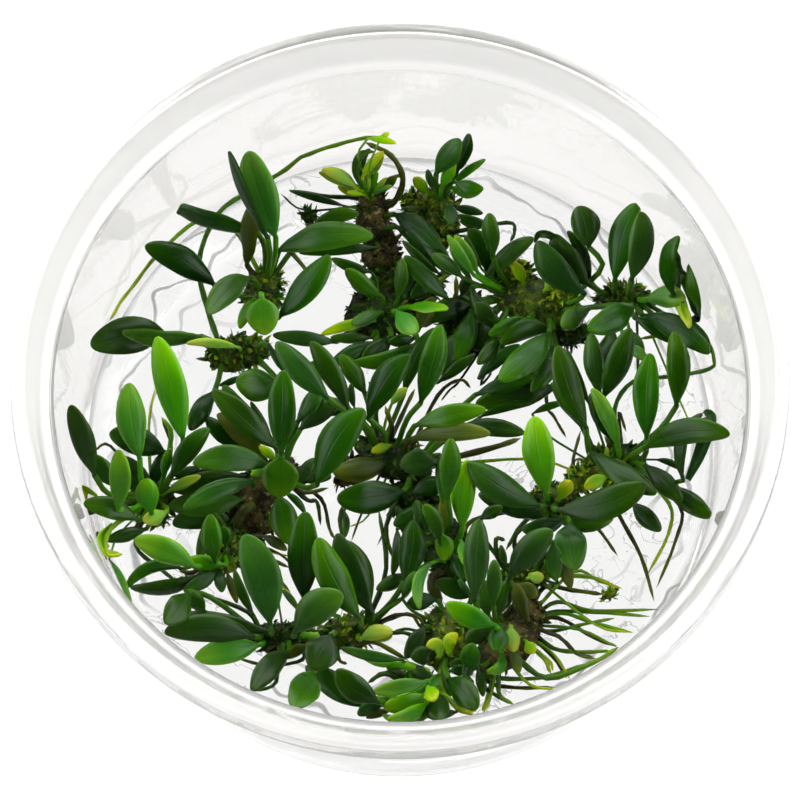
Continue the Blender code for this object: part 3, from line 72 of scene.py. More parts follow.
# Each clump: where its rhizome lies (u, v), the rhizome's length, width and height, its turn,
# then its leaves (kind, tone, width, roll, bow, base, tip, points its petiole passes) and its
# stems (tone, radius, points). A "leaf" is a piece of its own, a "shoot" is part of its clump.
clumps = {
    "back_left": {
        "rhizome": ((-18.2, 17.6), (7.5, 4.8, 3.8), 75),
        "leaves": [
            ("leaf", "fresh", 4.6, 12, 0.4, (-16.7, 26.0, 26), (-20.5, 38.7, 33)),
            ("shoot", "dark", 2.8, 64, 0.6, (-17.8, 26.0, 25), (-23.2, 38.7, 33)),
            ("shoot", "olive", 3.0, 40, 0.0, (-20.5, 22.0, 22), (-20.2, 30.5, 30)),
            ("shoot", "dark", 3.7, -12, -0.4, (-24.8, 19.1, 23), (-34.3, 24.8, 27)),
            ("shoot", "green", 2.9, 38, 1.0, (-19.3, 27.0, 26), (-31.3, 31.0, 25)),
            ("leaf", "green", 3.8, 18, 0.5, (-16.5, 24.0, 25), (-3.6, 26.2, 29)),
            ("shoot", "green", 2.4, -30, 0.2, (-12.0, 27.0, 23), (-5.5, 29.5, 25)),
            ("shoot", "green", 3.4, 15, -0.3, (-20.1, 20.2, 25), (-25.8, 15.0, 29)),
            ("shoot", "fresh", 4.2, 0, 0.0, (-18.5, 17.4, 28), (-18.0, 12.0, 25)),
            ("shoot", "green", 3.7, 20, -0.4, (-16.2, 14.5, 25), (-9.5, 23.5, 30)),
            ("shoot", "fresh", 1.6, 10, 0.0, (-19.6, 17.0, 23), (-21.4, 12.9, 25)),
        ],
        "stems": [
            ("olive", 0.4, [(-18.0, 20.0, 21), (-15.5, 24.5, 23), (-10.5, 18.5, 23)]),
            ("lime", 0.32, [(-19.0, 20.4, 20), (-22.6, 27.6, 22), (-27.0, 28.6, 22.5),
                            (-32.5, 23.6, 22), (-35.6, 19.2, 21.5), (-37.5, 16.5, 21),
                            (-38.8, 14.0, 21)]),
        ],
    },
    "left": {
        "rhizome": ((-21.6, 9.2), (8.5, 4.6, 3.4), 10),
        "leaves": [
            ("leaf", "dark", 4.8, 8, -0.3, (-31.0, 12.0, 24), (-41.2, 10.4, 28),
             [(-27.0, 11.2, 23)]),
            ("shoot", "green", 3.0, 42, 0.8, (-26.5, 11.8, 27), (-37.1, 12.5, 31),
             [(-24.5, 10.8, 25)]),
            ("shoot", "lime", 1.4, 30, 0.0, (-21.5, 10.2, 24), (-28.5, 10.8, 29)),
            ("shoot", "dark", 2.6, 14, 0.2, (-24.6, 4.0, 23), (-27.8, -1.5, 25)),
            ("shoot", "green", 4.2, -8, 0.0, (-15.8, 4.2, 25), (-21.8, 5.2, 29)),
            ("shoot", "dark", 2.6, 42, -2.6, (-17.5, 10.5, 24), (-9.5, 9.0, 23)),
        ],
        "stems": [
            ("lime", 0.35, [(-22.5, 9.0, 20), (-19.0, 7.0, 20), (-17.0, 6.0, 20)]),
            ("green", 0.4, [(-23.4, 9.6, 19.5), (-25.8, 16.0, 19), (-27.0, 22.5, 19.5),
                            (-24.6, 29.4, 20), (-20.0, 33.0, 20), (-15.4, 36.0, 21),
                            (-11.5, 39.6, 22), (-6.0, 40.8, 23), (-1.2, 40.4, 24)]),
        ],
    },
    "back_centre": {
        "rhizome": ((-3.6, 28.6), (10.5, 4.4, 4.2), 93),
        "leaves": [
            ("shoot", "lime", 1.5, 20, 0.3, (-5.2, 33.0, 21), (-11.0, 35.6, 24)),
            ("shoot", "lime", 1.4, 0, -0.4, (-5.0, 34.0, 22), (-2.3, 38.6, 26)),
            ("shoot", "dark", 1.5, 30, 0.8, (-5.2, 33.6, 22), (-4.0, 39.0, 27)),
            ("shoot", "fresh", 1.2, 10, 0.0, (-3.4, 32.6, 21), (-3.8, 35.6, 26)),
            ("shoot", "fresh", 1.2, -20, 0.0, (-2.6, 32.4, 21), (-0.5, 35.0, 25)),
            ("shoot", "lime", 1.2, 10, 0.3, (-5.4, 32.2, 21), (-8.4, 33.6, 23)),
            ("shoot", "dark", 3.0, 10, 0.3, (-0.8, 29.4, 22), (5.5, 24.2, 25)),
        ],
        "stems": [
            ("olive", 0.55, [(-4.0, 31.5, 20), (-3.0, 27.5, 20), (-3.2, 22.5, 20)]),
            ("olive", 0.5, [(-4.0, 31.0, 20), (-0.8, 31.2, 22), (0.4, 34.5, 25), (-1.2, 38.0, 28),
                            (-4.8, 40.0, 29)]),
            ("dark", 0.35, [(-4.4, 31.6, 20), (-9.5, 32.0, 20), (-15.0, 33.0, 21)]),
        ],
    },
    "back_right_centre": {
        "rhizome": ((5.4, 28.6), (9.5, 4.6, 3.8), 88),
        "leaves": [
            ("shoot", "green", 2.9, 10, 0.3, (4.9, 35.3, 27), (8.3, 40.3, 32)),
            ("shoot", "dark", 2.4, 45, -0.2, (7.6, 35.6, 24), (9.4, 41.3, 28)),
            ("shoot", "fresh", 1.2, 20, 0.0, (6.8, 33.6, 23), (11.6, 37.5, 25)),
            ("shoot", "fresh", 1.9, 20, -0.5, (6.9, 33.4, 23), (11.2, 33.2, 21)),
            ("shoot", "dark", 1.8, 20, 0.0, (6.8, 31.0, 25), (6.9, 27.8, 27)),
            ("shoot", "dark", 1.3, 10, 0.0, (7.2, 30.4, 22), (11.2, 29.5, 22)),
            ("shoot", "lime", 1.6, 10, 0.0, (3.8, 32.6, 22), (1.8, 34.8, 24)),
        ],
        "stems": [
            ("dark", 0.4, [(5.0, 32.0, 20), (2.5, 30.2, 21), (0.4, 30.4, 22)]),
        ],
    },
    "centre_back": {
        "rhizome": ((-2.6, 14.8), (9.5, 7.0, 4.0), 15),
        "leaves": [
            ("shoot", "fresh", 2.7, 10, 0.0, (-0.5, 15.3, 24), (2.1, 12.1, 27)),
            ("shoot", "green", 2.2, 10, 0.4, (-2.5, 17.5, 24), (-7.3, 21.5, 27)),
            ("shoot", "green", 1.9, 20, 0.0, (-0.3, 17.2, 24), (0.3, 23.0, 28)),
            ("shoot", "fresh", 2.2, 50, 0.0, (1.0, 16.0, 24), (6.5, 15.7, 27)),
            ("shoot", "green", 1.9, 10, 0.0, (-2.5, 15.2, 23), (-6.5, 13.5, 25)),
            ("shoot", "dark", 2.5, -20, 0.4, (6.3, 17.2, 24), (0.6, 23.4, 27)),
            ("shoot", "green", 2.3, 10, 1.2, (2.4, 11.0, 23), (-6.2, 8.2, 24)),
            ("shoot", "dark", 2.2, -10, 0.0, (-3.2, 11.0, 22), (-9.4, 7.6, 23)),
            ("shoot", "lime", 1.4, 0, 0.0, (-3.4, 14.0, 22), (-10.6, 12.0, 23)),
        ],
        "stems": [
            ("olive", 0.45, [(-0.8, 16.0, 20), (3.4, 13.5, 20), (7.2, 17.0, 22), (7.5, 20.6, 25)]),
        ],
    },
    "back_right": {
        "rhizome": ((17.6, 16.4), (12.0, 7.0, 4.2), -28),
        "leaves": [
            ("leaf", "dark", 3.8, 10, 0.0, (25.4, 24.6, 28), (24.0, 30.6, 31),
             [(27.2, 22.2, 26), (25.4, 19.6, 23)]),
            ("leaf", "dark", 4.0, 16, 1.4, (24.7, 18.0, 24), (18.6, 25.6, 29)),
            ("shoot", "green", 2.5, 20, 0.3, (11.6, 20.5, 23), (18.0, 26.0, 26)),
            ("shoot", "green", 2.4, 15, 0.0, (12.5, 23.2, 26), (12.0, 29.6, 30)),
            ("shoot", "fresh", 1.8, 40, 0.5, (9.9, 20.6, 25), (6.4, 26.4, 30)),
            ("shoot", "green", 1.8, 0, 0.0, (8.4, 20.2, 25), (4.3, 23.6, 29)),
            ("shoot", "green", 2.7, 10, 0.0, (25.3, 15.8, 24), (21.6, 13.0, 28)),
            ("leaf", "green", 3.6, 12, 0.4, (31.2, 16.1, 26), (25.0, 12.8, 30)),
            ("shoot", "green", 2.2, 30, 0.0, (17.0, 14.3, 24), (11.8, 12.0, 26)),
            ("leaf", "green", 3.8, -14, 0.3, (19.8, 12.2, 25), (13.2, 5.5, 29)),
            ("shoot", "dark", 2.4, 10, 0.0, (12.4, 13.0, 23), (10.0, 16.6, 25)),
            ("shoot", "dark", 1.9, 10, 0.0, (13.5, 11.5, 23), (10.3, 7.8, 25)),
            ("shoot", "lime", 1.6, 0, 0.0, (19.4, 18.4, 22), (21.6, 21.4, 24)),
            ("shoot", "lime", 1.6, 0, 0.0, (16.6, 19.4, 22), (15.0, 22.4, 24)),
        ],
        "stems": [],
    },
    "right_back": {
        "rhizome": ((30.0, 17.0), (7.0, 3.8, 3.0), 0),
        "leaves": [
            ("leaf", "green", 3.6, 14, 0.3, (28.8, 19.8, 24), (32.0, 31.2, 30)),
            ("leaf", "green", 3.4, -16, -0.5, (31.0, 20.0, 28), (32.5, 29.8, 34)),
            ("shoot", "dark", 3.0, 40, 1.6, (36.6, 17.8, 25), (37.6, 26.2, 32)),
            ("shoot", "green", 2.0, 30, -2.4, (39.0, 14.2, 24), (39.8, 22.8, 31)),
            ("shoot", "lime", 1.4, 10, 0.5, (36.4, 16.6, 24), (38.6, 12.9, 26)),
            ("shoot", "fresh", 3.0, 6, 0.2, (33.0, 17.0, 24), (38.2, 17.0, 27)),
            ("shoot", "dark", 2.3, 10, 0.0, (31.4, 14.4, 23), (36.6, 10.9, 23)),
            ("shoot", "dark", 2.2, -20, 0.6, (35.4, 13.9, 23), (41.2, 10.4, 25)),
            ("shoot", "green", 1.4, 0, 0.0, (30.6, 12.6, 23), (32.4, 8.8, 24)),
        ],
        "stems": [],
    },
    "right": {
        "rhizome": ((27.8, -6.6), (8.0, 4.8, 3.6), 20),
        "leaves": [
            ("leaf", "green", 3.4, 10, 0.2, (32.6, -2.6, 26), (33.3, 9.4, 32), [(32.2, -5.2, 24)]),
            ("leaf", "dark", 3.4, -12, 0.6, (32.2, -4.0, 26), (43.6, -2.1, 33)),
            ("shoot", "dark", 3.1, 20, -0.3, (25.2, -4.7, 26), (33.7, -10.4, 30)),
            ("shoot", "dark", 2.0, 30, 1.7, (37.3, -8.5, 26), (40.1, 0.9, 31)),
            ("shoot", "dark", 2.6, 10, 0.0, (32.3, -6.4, 24), (37.0, -11.5, 26)),
            ("shoot", "dark", 2.7, 10, -0.7, (35.6, -9.1, 23), (41.0, -13.5, 24)),
            ("shoot", "dark", 2.4, -10, -0.3, (30.6, -11.6, 22), (34.2, -15.5, 22)),
            ("leaf", "dark", 3.4, -10, 0.3, (24.6, -1.2, 27), (21.0, 10.5, 33), [(24.9, -4.5, 24)]),
            ("shoot", "dark", 2.4, 40, 0.0, (24.2, -1.2, 24), (20.0, 5.2, 27)),
            ("shoot", "green", 2.7, 10, 0.3, (26.5, 3.5, 23), (25.5, 12.2, 27)),
            ("leaf", "dark", 3.3, -15, -0.4, (26.9, 3.1, 25), (30.7, 13.0, 30)),
            ("shoot", "fresh", 2.4, 30, -0.3, (28.8, -3.8, 24), (25.4, 4.4, 27)),
            ("shoot", "green", 3.1, 10, 0.0, (36.6, 1.9, 24), (36.5, 12.5, 30)),
            ("shoot", "lime", 1.8, 0, 0.0, (27.0, -8.0, 23), (24.2, -9.6, 24)),
        ],
        "stems": [
            ("olive", 0.35, [(28.6, -8.0, 19), (28.6, -13.0, 19), (31.5, -19.0, 18),
                             (33.1, -25.2, 18)]),
            ("lime", 0.3, [(29.4, -8.4, 19), (35.3, -11.6, 19), (35.1, -16.0, 18),
                           (32.2, -21.6, 18)]),
            ("olive", 0.3, [(30.2, -7.4, 19), (36.7, -11.9, 19), (36.0, -17.0, 18),
                            (33.4, -23.4, 18)]),
            ("olive", 0.3, [(26.6, -7.6, 20), (22.8, -6.4, 20), (23.9, -1.4, 21)]),
            ("green", 0.34, [(28.8, -5.6, 19.5), (28.4, 1.4, 19.5), (31.0, 5.4, 20),
                             (36.0, 6.1, 21), (41.2, 7.2, 24.5), (42.4, 9.4, 26), (40.4, 11.4, 25),
                             (36.0, 12.0, 22), (31.6, 11.4, 20)]),
        ],
    },
    "centre_right": {
        "rhizome": ((20.4, -11.8), (6.5, 4.6, 3.6), 0),
        "leaves": [
            ("leaf", "fresh", 4.1, 12, 0.2, (19.2, -10.4, 25.4), (17.8, 0.5, 31)),
            ("leaf", "dark", 3.9, -10, 0.4, (18.2, -12.0, 26), (8.9, -6.0, 31)),
            ("shoot", "dark", 3.1, 10, 0.0, (18.8, -13.8, 23), (10.3, -10.4, 24)),
            ("leaf", "dark", 4.2, 14, -1.2, (20.8, -12.6, 25), (32.3, -8.8, 29)),
            ("shoot", "green", 2.4, 10, -0.8, (20.4, -13.6, 23), (28.0, -13.6, 23)),
            ("leaf", "green", 4.1, 10, 0.0, (22.2, -14.4, 23), (22.8, -20.9, 24)),
            ("shoot", "lime", 1.9, 0, 0.0, (20.8, -11.2, 23), (22.6, -8.6, 26)),
        ],
        "stems": [
            ("dark", 0.4, [(19.0, -13.0, 20), (16.0, -14.6, 21), (13.8, -18.2, 21)]),
            ("olive", 0.3, [(21.5, -12.4, 20), (25.7, -14.9, 19), (28.5, -19.0, 18)]),
        ],
    },
    "centre": {
        "rhizome": ((-0.6, -6.0), (10.5, 5.6, 3.8), -25),
        "leaves": [
            ("shoot", "green", 2.7, 10, 0.3, (1.9, -0.9, 26), (11.4, 1.4, 29)),
            ("shoot", "olive", 2.6, -14, 0.2, (1.3, -2.8, 25), (12.0, -2.0, 29)),
            ("shoot", "dark", 2.4, 10, 0.0, (8.2, -0.8, 23), (16.5, -1.9, 25)),
            ("shoot", "dark", 3.4, 0, 0.0, (4.8, -6.0, 24), (0.0, -6.4, 24)),
            ("shoot", "green", 3.3, -10, 0.0, (2.7, 2.3, 25), (5.5, 13.5, 30), [(0.9, 0.0, 24)]),
            ("leaf", "dark", 3.7, 12, 0.4, (-4.2, 0.2, 26), (1.3, 9.2, 31), [(-2.0, -2.0, 24)]),
            ("leaf", "green", 3.3, -8, 0.2, (-9.5, 3.0, 27), (-16.5, 11.0, 31), [(-5.0, -0.8, 24)]),
            ("leaf", "dark", 2.9, 20, -0.3, (-6.8, 1.5, 28), (-12.0, 11.0, 33), [(-4.0, -1.4, 25)]),
            ("shoot", "dark", 2.2, 10, 0.0, (10.0, 3.5, 23), (17.8, 6.0, 25)),
            ("shoot", "lime", 1.3, 0, 0.0, (-1.2, -3.6, 22), (-3.8, -4.6, 23)),
        ],
        "stems": [
            ("olive", 0.45, [(0.0, -4.5, 20), (-1.0, -1.5, 22), (-2.0, 2.0, 24)]),
            ("olive", 0.3, [(0.5, -4.0, 20), (5.0, 3.4, 20), (8.0, 5.6, 21), (9.4, 4.4, 21)]),
        ],
    },
    "left_centre": {
        "rhizome": ((-17.6, -9.2), (10.0, 5.6, 4.2), 30),
        "leaves": [
            ("leaf", "dark", 3.3, -12, 0.3, (-16.3, -4.0, 25), (-24.8, 4.2, 29)),
            ("leaf", "dark", 3.6, 12, 0.0, (-15.6, -4.8, 27), (-15.5, 7.0, 33)),
            ("shoot", "olive", 2.8, 20, 0.0, (-18.0, -5.3, 23), (-24.2, 0.8, 25)),
            ("leaf", "green", 3.4, -12, -0.4, (-17.3, -6.5, 26), (-27.3, -6.2, 29)),
            ("shoot", "green", 4.7, 0, 0.0, (-15.9, -5.2, 29), (-15.8, -10.8, 26)),
            ("leaf", "dark", 4.5, 10, 0.4, (-10.9, -9.1, 27), (-4.7, 1.5, 33)),
            ("shoot", "green", 2.4, 20, 0.0, (-13.6, -0.4, 23), (-10.5, 4.8, 25)),
            ("shoot", "green", 2.7, -16, -0.3, (-19.5, -8.6, 24), (-28.5, -12.4, 26)),
            ("shoot", "green", 3.6, 0, 0.2, (-16.0, -10.6, 24), (-14.4, -17.4, 23)),
            ("shoot", "fresh", 1.5, 10, 0.0, (-16.6, -6.4, 23), (-19.6, -7.9, 25)),
        ],
        "stems": [
            ("olive", 0.45, [(-14.0, -7.4, 21), (-11.0, -6.0, 23), (-9.0, -5.0, 24)]),
            ("olive", 0.3, [(-13.0, -8.4, 20), (-10.4, -11.0, 20), (-9.3, -15.0, 20),
                            (-8.6, -16.6, 20)]),
        ],
    },
    "left_back_ball": {
        "rhizome": ((-32.3, -11.4), (5.4, 4.8, 4.0), 0),
        "leaves": [
            ("leaf", "dark", 2.9, 10, 0.2, (-40.2, -7.8, 28), (-43.6, 2.1, 36),
             [(-38.2, -10.4, 25)]),
            ("leaf", "fresh", 3.8, -8, 0.0, (-34.3, -5.5, 25), (-36.0, 5.2, 30),
             [(-34.0, -8.6, 23)]),
            ("shoot", "fresh", 2.8, 10, 0.0, (-37.0, -12.4, 26), (-37.1, -4.2, 31)),
            ("shoot", "dark", 3.6, 0, 0.0, (-31.0, -4.6, 23), (-38.4, -1.9, 25)),
            ("shoot", "dark", 2.5, 10, 0.0, (-37.5, -9.4, 25), (-40.5, -5.0, 28)),
            ("shoot", "green", 2.7, -14, 0.0, (-30.1, -8.0, 25), (-25.2, -1.2, 28)),
            ("leaf", "fresh", 4.0, 10, 0.2, (-28.6, -3.0, 27), (-32.4, 11.8, 33)),
            ("shoot", "green", 2.8, -10, -0.6, (-34.4, -14.0, 24), (-41.6, -11.8, 27)),
            ("shoot", "dark", 1.9, 20, 0.0, (-33.2, -15.2, 22), (-38.4, -16.8, 24)),
            ("shoot", "fresh", 3.0, 0, 0.0, (-32.6, -13.0, 25), (-33.4, -8.2, 28)),
            ("shoot", "fresh", 1.4, 0, 0.0, (-31.2, -8.0, 24), (-30.3, -4.0, 26)),
            ("shoot", "lime", 1.4, 0, 0.0, (-30.4, -10.0, 23), (-26.2, -7.9, 24)),
        ],
        "stems": [
            ("lime", 0.4, [(-34.0, -12.6, 22), (-37.9, -15.2, 25), (-38.4, -18.6, 25),
                           (-36.2, -18.7, 25)]),
            ("dark", 0.35, [(-33.0, -13.0, 20), (-34.6, -17.4, 20), (-31.4, -20.6, 20),
                            (-27.9, -23.4, 21)]),
            ("olive", 0.35, [(-31.5, -9.8, 20), (-30.2, -4.0, 21), (-31.6, 0.4, 22)]),
        ],
    },
    "left_front": {
        "rhizome": ((-22.6, -17.4), (6.5, 4.4, 3.8), 60),
        "leaves": [
            ("leaf", "fresh", 3.3, 8, -0.5, (-26.8, -20.4, 24), (-34.8, -16.8, 27)),
            ("shoot", "green", 2.7, 10, 0.0, (-24.2, -19.6, 24), (-24.9, -13.2, 27)),
            ("shoot", "fresh", 2.0, 0, 0.0, (-23.0, -20.2, 23), (-27.8, -19.4, 24)),
            ("shoot", "dark", 2.6, 44, 1.6, (-26.0, -21.4, 23), (-35.2, -23.2, 23)),
            ("shoot", "dark", 1.6, 10, 0.0, (-23.6, -20.8, 22), (-23.2, -23.9, 23)),
            ("shoot", "green", 1.5, 10, 0.0, (-22.8, -17.6, 24), (-23.1, -14.8, 26)),
            ("shoot", "olive", 1.2, 10, 0.0, (-22.6, -21.2, 21), (-21.2, -25.4, 21)),
        ],
        "stems": [
            ("olive", 1.2, [(-22.4, -16.0, 20), (-20.6, -13.0, 20.5), (-18.8, -11.6, 20.5)]),
            ("olive", 0.35, [(-21.0, -16.8, 20), (-17.6, -19.0, 20), (-14.3, -20.6, 19)]),
            ("olive", 0.3, [(-21.0, -18.0, 20), (-17.0, -21.0, 19), (-14.2, -24.0, 19)]),
        ],
    },
    "front_left": {
        "rhizome": ((-15.4, -30.2), (8.0, 3.8, 3.4), 4),
        "leaves": [
            ("leaf", "green", 4.8, 8, -0.3, (-16.9, -28.2, 27), (-20.4, -16.0, 33)),
            ("leaf", "green", 4.3, -10, 0.3, (-13.6, -29.3, 26), (-7.4, -24.2, 30)),
            ("leaf", "dark", 3.6, 10, -0.4, (-19.0, -29.9, 24), (-30.6, -29.4, 27)),
            ("shoot", "dark", 2.5, 0, 0.4, (-17.4, -29.2, 23), (-27.4, -26.7, 23)),
            ("shoot", "fresh", 3.4, -8, 0.4, (-18.2, -31.0, 23), (-26.6, -32.8, 25)),
            ("shoot", "dark", 3.0, 10, 0.0, (-14.4, -32.0, 23), (-19.2, -37.2, 28)),
            ("leaf", "dark", 3.9, 6, 0.0, (-12.5, -25.0, 26), (-12.4, -12.8, 32)),
            ("shoot", "dark", 3.4, 10, 0.4, (-27.6, -24.0, 24), (-30.6, -28.1, 27),
             [(-24.6, -24.6, 22)]),
            ("shoot", "green", 2.3, 16, 0.0, (-25.4, -26.6, 23), (-27.9, -23.6, 26)),
        ],
        "stems": [
            ("dark", 0.38, [(-15.6, -28.6, 21), (-19.8, -26.6, 21), (-25.4, -24.2, 21)]),
            ("dark", 0.3, [(-13.2, -31.2, 20), (-12.6, -33.0, 20), (-17.0, -33.8, 20),
                           (-21.2, -32.8, 20)]),
            ("fresh", 0.6, [(-12.6, -30.0, 21), (-11.6, -29.8, 22), (-10.4, -29.7, 22)]),
        ],
    },
    "front_centre_left": {
        "rhizome": ((-6.4, -29.4), (8.0, 4.2, 3.6), 8),
        "leaves": [
            ("leaf", "green", 4.0, -8, 0.4, (-5.3, -27.4, 26), (-10.8, -16.4, 32)),
            ("shoot", "dark", 3.4, 12, 0.6, (-3.6, -26.8, 23), (-8.2, -15.8, 27)),
            ("shoot", "dark", 4.3, 0, 0.2, (-8.9, -29.8, 25), (-11.6, -34.2, 26)),
            ("shoot", "green", 3.9, 0, 0.0, (-11.3, -34.8, 24), (-13.7, -39.6, 32),
             [(-9.4, -32.6, 22)]),
            ("shoot", "dark", 3.4, 6, 0.0, (0.6, -22.4, 24), (1.8, -14.0, 27)),
        ],
        "stems": [
            ("lime", 1.0, [(-4.5, -30.0, 20.5), (-2.6, -29.9, 20.8), (-0.8, -29.3, 21)]),
            ("dark", 0.35, [(-1.9, -30.4, 20), (-1.2, -29.4, 22), (0.6, -29.4, 22),
                            (3.2, -30.4, 21)]),
            ("olive", 0.3, [(-4.0, -28.8, 20), (-1.0, -27.4, 21), (1.4, -26.9, 21),
                            (2.8, -29.0, 21)]),
            ("dark", 0.4, [(-4.6, -28.6, 20), (-1.8, -20.6, 20), (-2.9, -12.0, 21)]),
            ("olive", 0.3, [(-6.6, -31.2, 20), (-7.9, -33.0, 20), (-6.8, -33.6, 20)]),
        ],
    },
    "front_centre": {
        "rhizome": ((2.4, -36.8), (5.4, 3.6, 3.0), 0),
        "leaves": [
            ("leaf", "dark", 3.3, 8, 0.3, (-2.8, -38.7, 27), (-8.3, -34.4, 30)),
            ("shoot", "dark", 3.2, -6, 0.2, (-4.6, -39.4, 23), (-12.2, -33.9, 23)),
            ("shoot", "fresh", 2.4, 0, 0.3, (3.4, -36.0, 25), (-3.4, -37.3, 26)),
            ("shoot", "fresh", 2.6, 10, 0.3, (3.8, -38.0, 25), (-2.2, -39.4, 26)),
            ("shoot", "fresh", 2.0, 20, 0.6, (3.4, -38.8, 24), (-1.6, -41.0, 28)),
            ("shoot", "dark", 3.6, 0, 0.0, (4.6, -37.4, 23), (5.0, -41.2, 27)),
            ("shoot", "lime", 2.0, 0, 0.0, (3.6, -36.8, 24), (4.4, -38.6, 27)),
        ],
        "stems": [
            ("fresh", 0.6, [(2.6, -35.6, 21), (1.0, -33.9, 22), (-3.2, -33.4, 22),
                            (-5.2, -32.0, 21)]),
            ("dark", 0.35, [(1.6, -36.2, 20), (-0.5, -34.7, 22), (-2.6, -35.1, 22),
                            (-4.2, -36.2, 21)]),
        ],
    },
    "front_right_centre": {
        "rhizome": ((5.9, -30.2), (8.4, 6.2, 4.0), 80),
        "leaves": [
            ("shoot", "dark", 2.5, 0, 0.0, (4.2, -31.8, 23), (1.4, -32.8, 23)),
            ("shoot", "lime", 1.8, 10, 0.8, (6.6, -32.2, 24), (7.6, -29.6, 26)),
            ("shoot", "lime", 1.8, 10, -0.8, (5.0, -32.6, 24), (3.4, -31.2, 25)),
            ("shoot", "green", 2.6, 10, 0.2, (9.2, -34.8, 23), (9.6, -30.8, 27)),
            ("shoot", "dark", 3.3, -8, 0.4, (6.3, -35.6, 24), (9.8, -39.8, 27)),
        ],
        "stems": [
            ("lime", 0.4, [(6.2, -33.4, 21), (5.3, -36.4, 22), (7.4, -39.6, 23), (9.6, -40.3, 24)]),
        ],
    },
    "front_right": {
        "rhizome": ((14.4, -30.2), (11.0, 6.2, 4.4), 52),
        "leaves": [
            ("leaf", "fresh", 2.8, 6, 0.3, (12.3, -28.4, 25), (6.0, -25.4, 27)),
            ("shoot", "green", 2.0, 10, 0.0, (12.2, -25.6, 25), (12.3, -19.4, 28),
             [(12.4, -27.6, 23)]),
            ("leaf", "dark", 3.3, 8, 0.0, (9.7, -25.0, 27), (10.3, -13.8, 33), [(10.6, -27.4, 24)]),
            ("shoot", "green", 2.6, 0, 0.0, (13.0, -28.4, 25), (12.4, -32.0, 26)),
            ("shoot", "lime", 2.2, 10, 0.0, (14.4, -28.6, 25), (14.8, -32.0, 25)),
            ("shoot", "olive", 2.0, 10, 0.0, (16.6, -28.0, 22), (15.0, -22.6, 24)),
            ("shoot", "lime", 1.6, 0, 0.0, (16.4, -30.6, 22), (17.4, -32.2, 22)),
            ("shoot", "fresh", 1.7, 30, 1.0, (13.2, -32.2, 23), (11.2, -34.6, 25)),
            ("shoot", "olive", 1.5, 10, 0.0, (15.0, -31.6, 22), (15.4, -34.8, 23)),
        ],
        "stems": [
            ("green", 0.32, [(17.0, -29.8, 19), (20.5, -25.2, 19), (25.0, -26.4, 18),
                             (34.0, -26.2, 18)]),
            ("green", 0.32, [(17.4, -29.4, 19), (20.4, -26.5, 18), (26.8, -26.7, 18),
                             (32.6, -27.2, 18)]),
            ("fresh", 0.32, [(17.4, -29.6, 19), (21.0, -26.7, 18), (25.0, -28.0, 18),
                             (30.4, -29.4, 18)]),
            ("olive", 0.32, [(17.6, -29.8, 19), (20.6, -27.4, 19), (25.4, -30.2, 18),
                             (28.2, -31.2, 18)]),
            ("green", 0.3, [(17.6, -30.0, 19), (19.6, -29.2, 18), (24.0, -28.2, 19.4),
                            (28.0, -27.4, 18)]),
            ("olive", 0.3, [(17.6, -30.0, 19), (20.6, -29.9, 18), (22.8, -32.2, 18),
                            (25.0, -32.6, 18)]),
            ("green", 0.35, [(16.6, -30.4, 20), (19.9, -31.5, 19), (23.6, -32.0, 18),
                             (27.6, -31.8, 18)]),
            ("lime", 0.36, [(17.2, -30.6, 19), (18.8, -33.0, 18), (19.3, -34.8, 18)]),
            ("olive", 0.32, [(17.6, -30.4, 19), (19.8, -32.6, 18), (21.6, -35.6, 18)]),
            ("green", 0.36, [(13.0, -31.0, 19), (11.0, -35.2, 20), (18.0, -35.5, 19),
                             (24.6, -33.4, 18)]),
            ("olive", 0.34, [(12.6, -31.2, 19), (11.4, -36.0, 18.6), (15.2, -36.8, 18),
                             (20.2, -36.7, 18)]),
            ("dark", 0.36, [(12.4, -31.2, 19), (10.9, -36.4, 19.4), (12.4, -37.8, 19),
                            (14.5, -39.0, 19)]),
            ("lime", 0.32, [(11.6, -36.0, 18.8), (11.3, -38.0, 19), (10.6, -40.0, 19)]),
            ("olive", 0.4, [(17.6, -28.8, 19), (18.8, -23.2, 19), (22.4, -23.6, 19),
                            (26.6, -24.2, 18)]),
            ("lime", 0.26, [(18.0, -26.4, 19.4), (22.6, -21.1, 19), (26.0, -22.4, 18),
                            (29.0, -23.4, 18)]),
        ],
    },
    "centre_front": {
        "rhizome": ((5.8, -17.6), (11.0, 6.2, 4.0), -57),
        "leaves": [
            ("leaf", "fresh", 3.2, 10, 0.2, (8.2, -15.2, 25), (9.0, -5.6, 31)),
            ("shoot", "green", 2.7, -10, 0.0, (6.2, -11.0, 27), (6.7, -2.6, 33),
             [(6.6, -14.2, 24)]),
            ("shoot", "dark", 2.2, 40, 0.0, (2.5, -17.0, 24), (2.2, -11.2, 28)),
            ("shoot", "green", 2.2, 20, -0.3, (5.2, -17.0, 25), (3.1, -11.8, 29)),
            ("shoot", "fresh", 2.4, 0, 0.0, (5.3, -15.8, 26), (5.9, -19.6, 24)),
            ("shoot", "fresh", 1.8, 30, -0.9, (4.0, -20.0, 24), (2.6, -26.2, 24)),
            ("shoot", "green", 1.9, 0, 0.0, (0.8, -21.4, 22), (-3.1, -23.6, 22)),
            ("shoot", "dark", 2.0, 0, 0.0, (6.8, -18.6, 23), (8.6, -22.4, 23)),
            ("shoot", "fresh", 1.5, 0, 0.0, (8.0, -16.8, 25), (8.5, -20.2, 25)),
            ("shoot", "olive", 1.6, 0, 0.0, (6.0, -15.4, 22), (5.6, -11.0, 23)),
        ],
        "stems": [
            ("olive", 1.0, [(5.6, -20.0, 20), (4.2, -22.6, 20), (5.4, -25.8, 20)]),
        ],
    },
    "right_front": {
        "rhizome": ((16.0, -22.0), (6.4, 3.8, 3.4), 10),
        "leaves": [
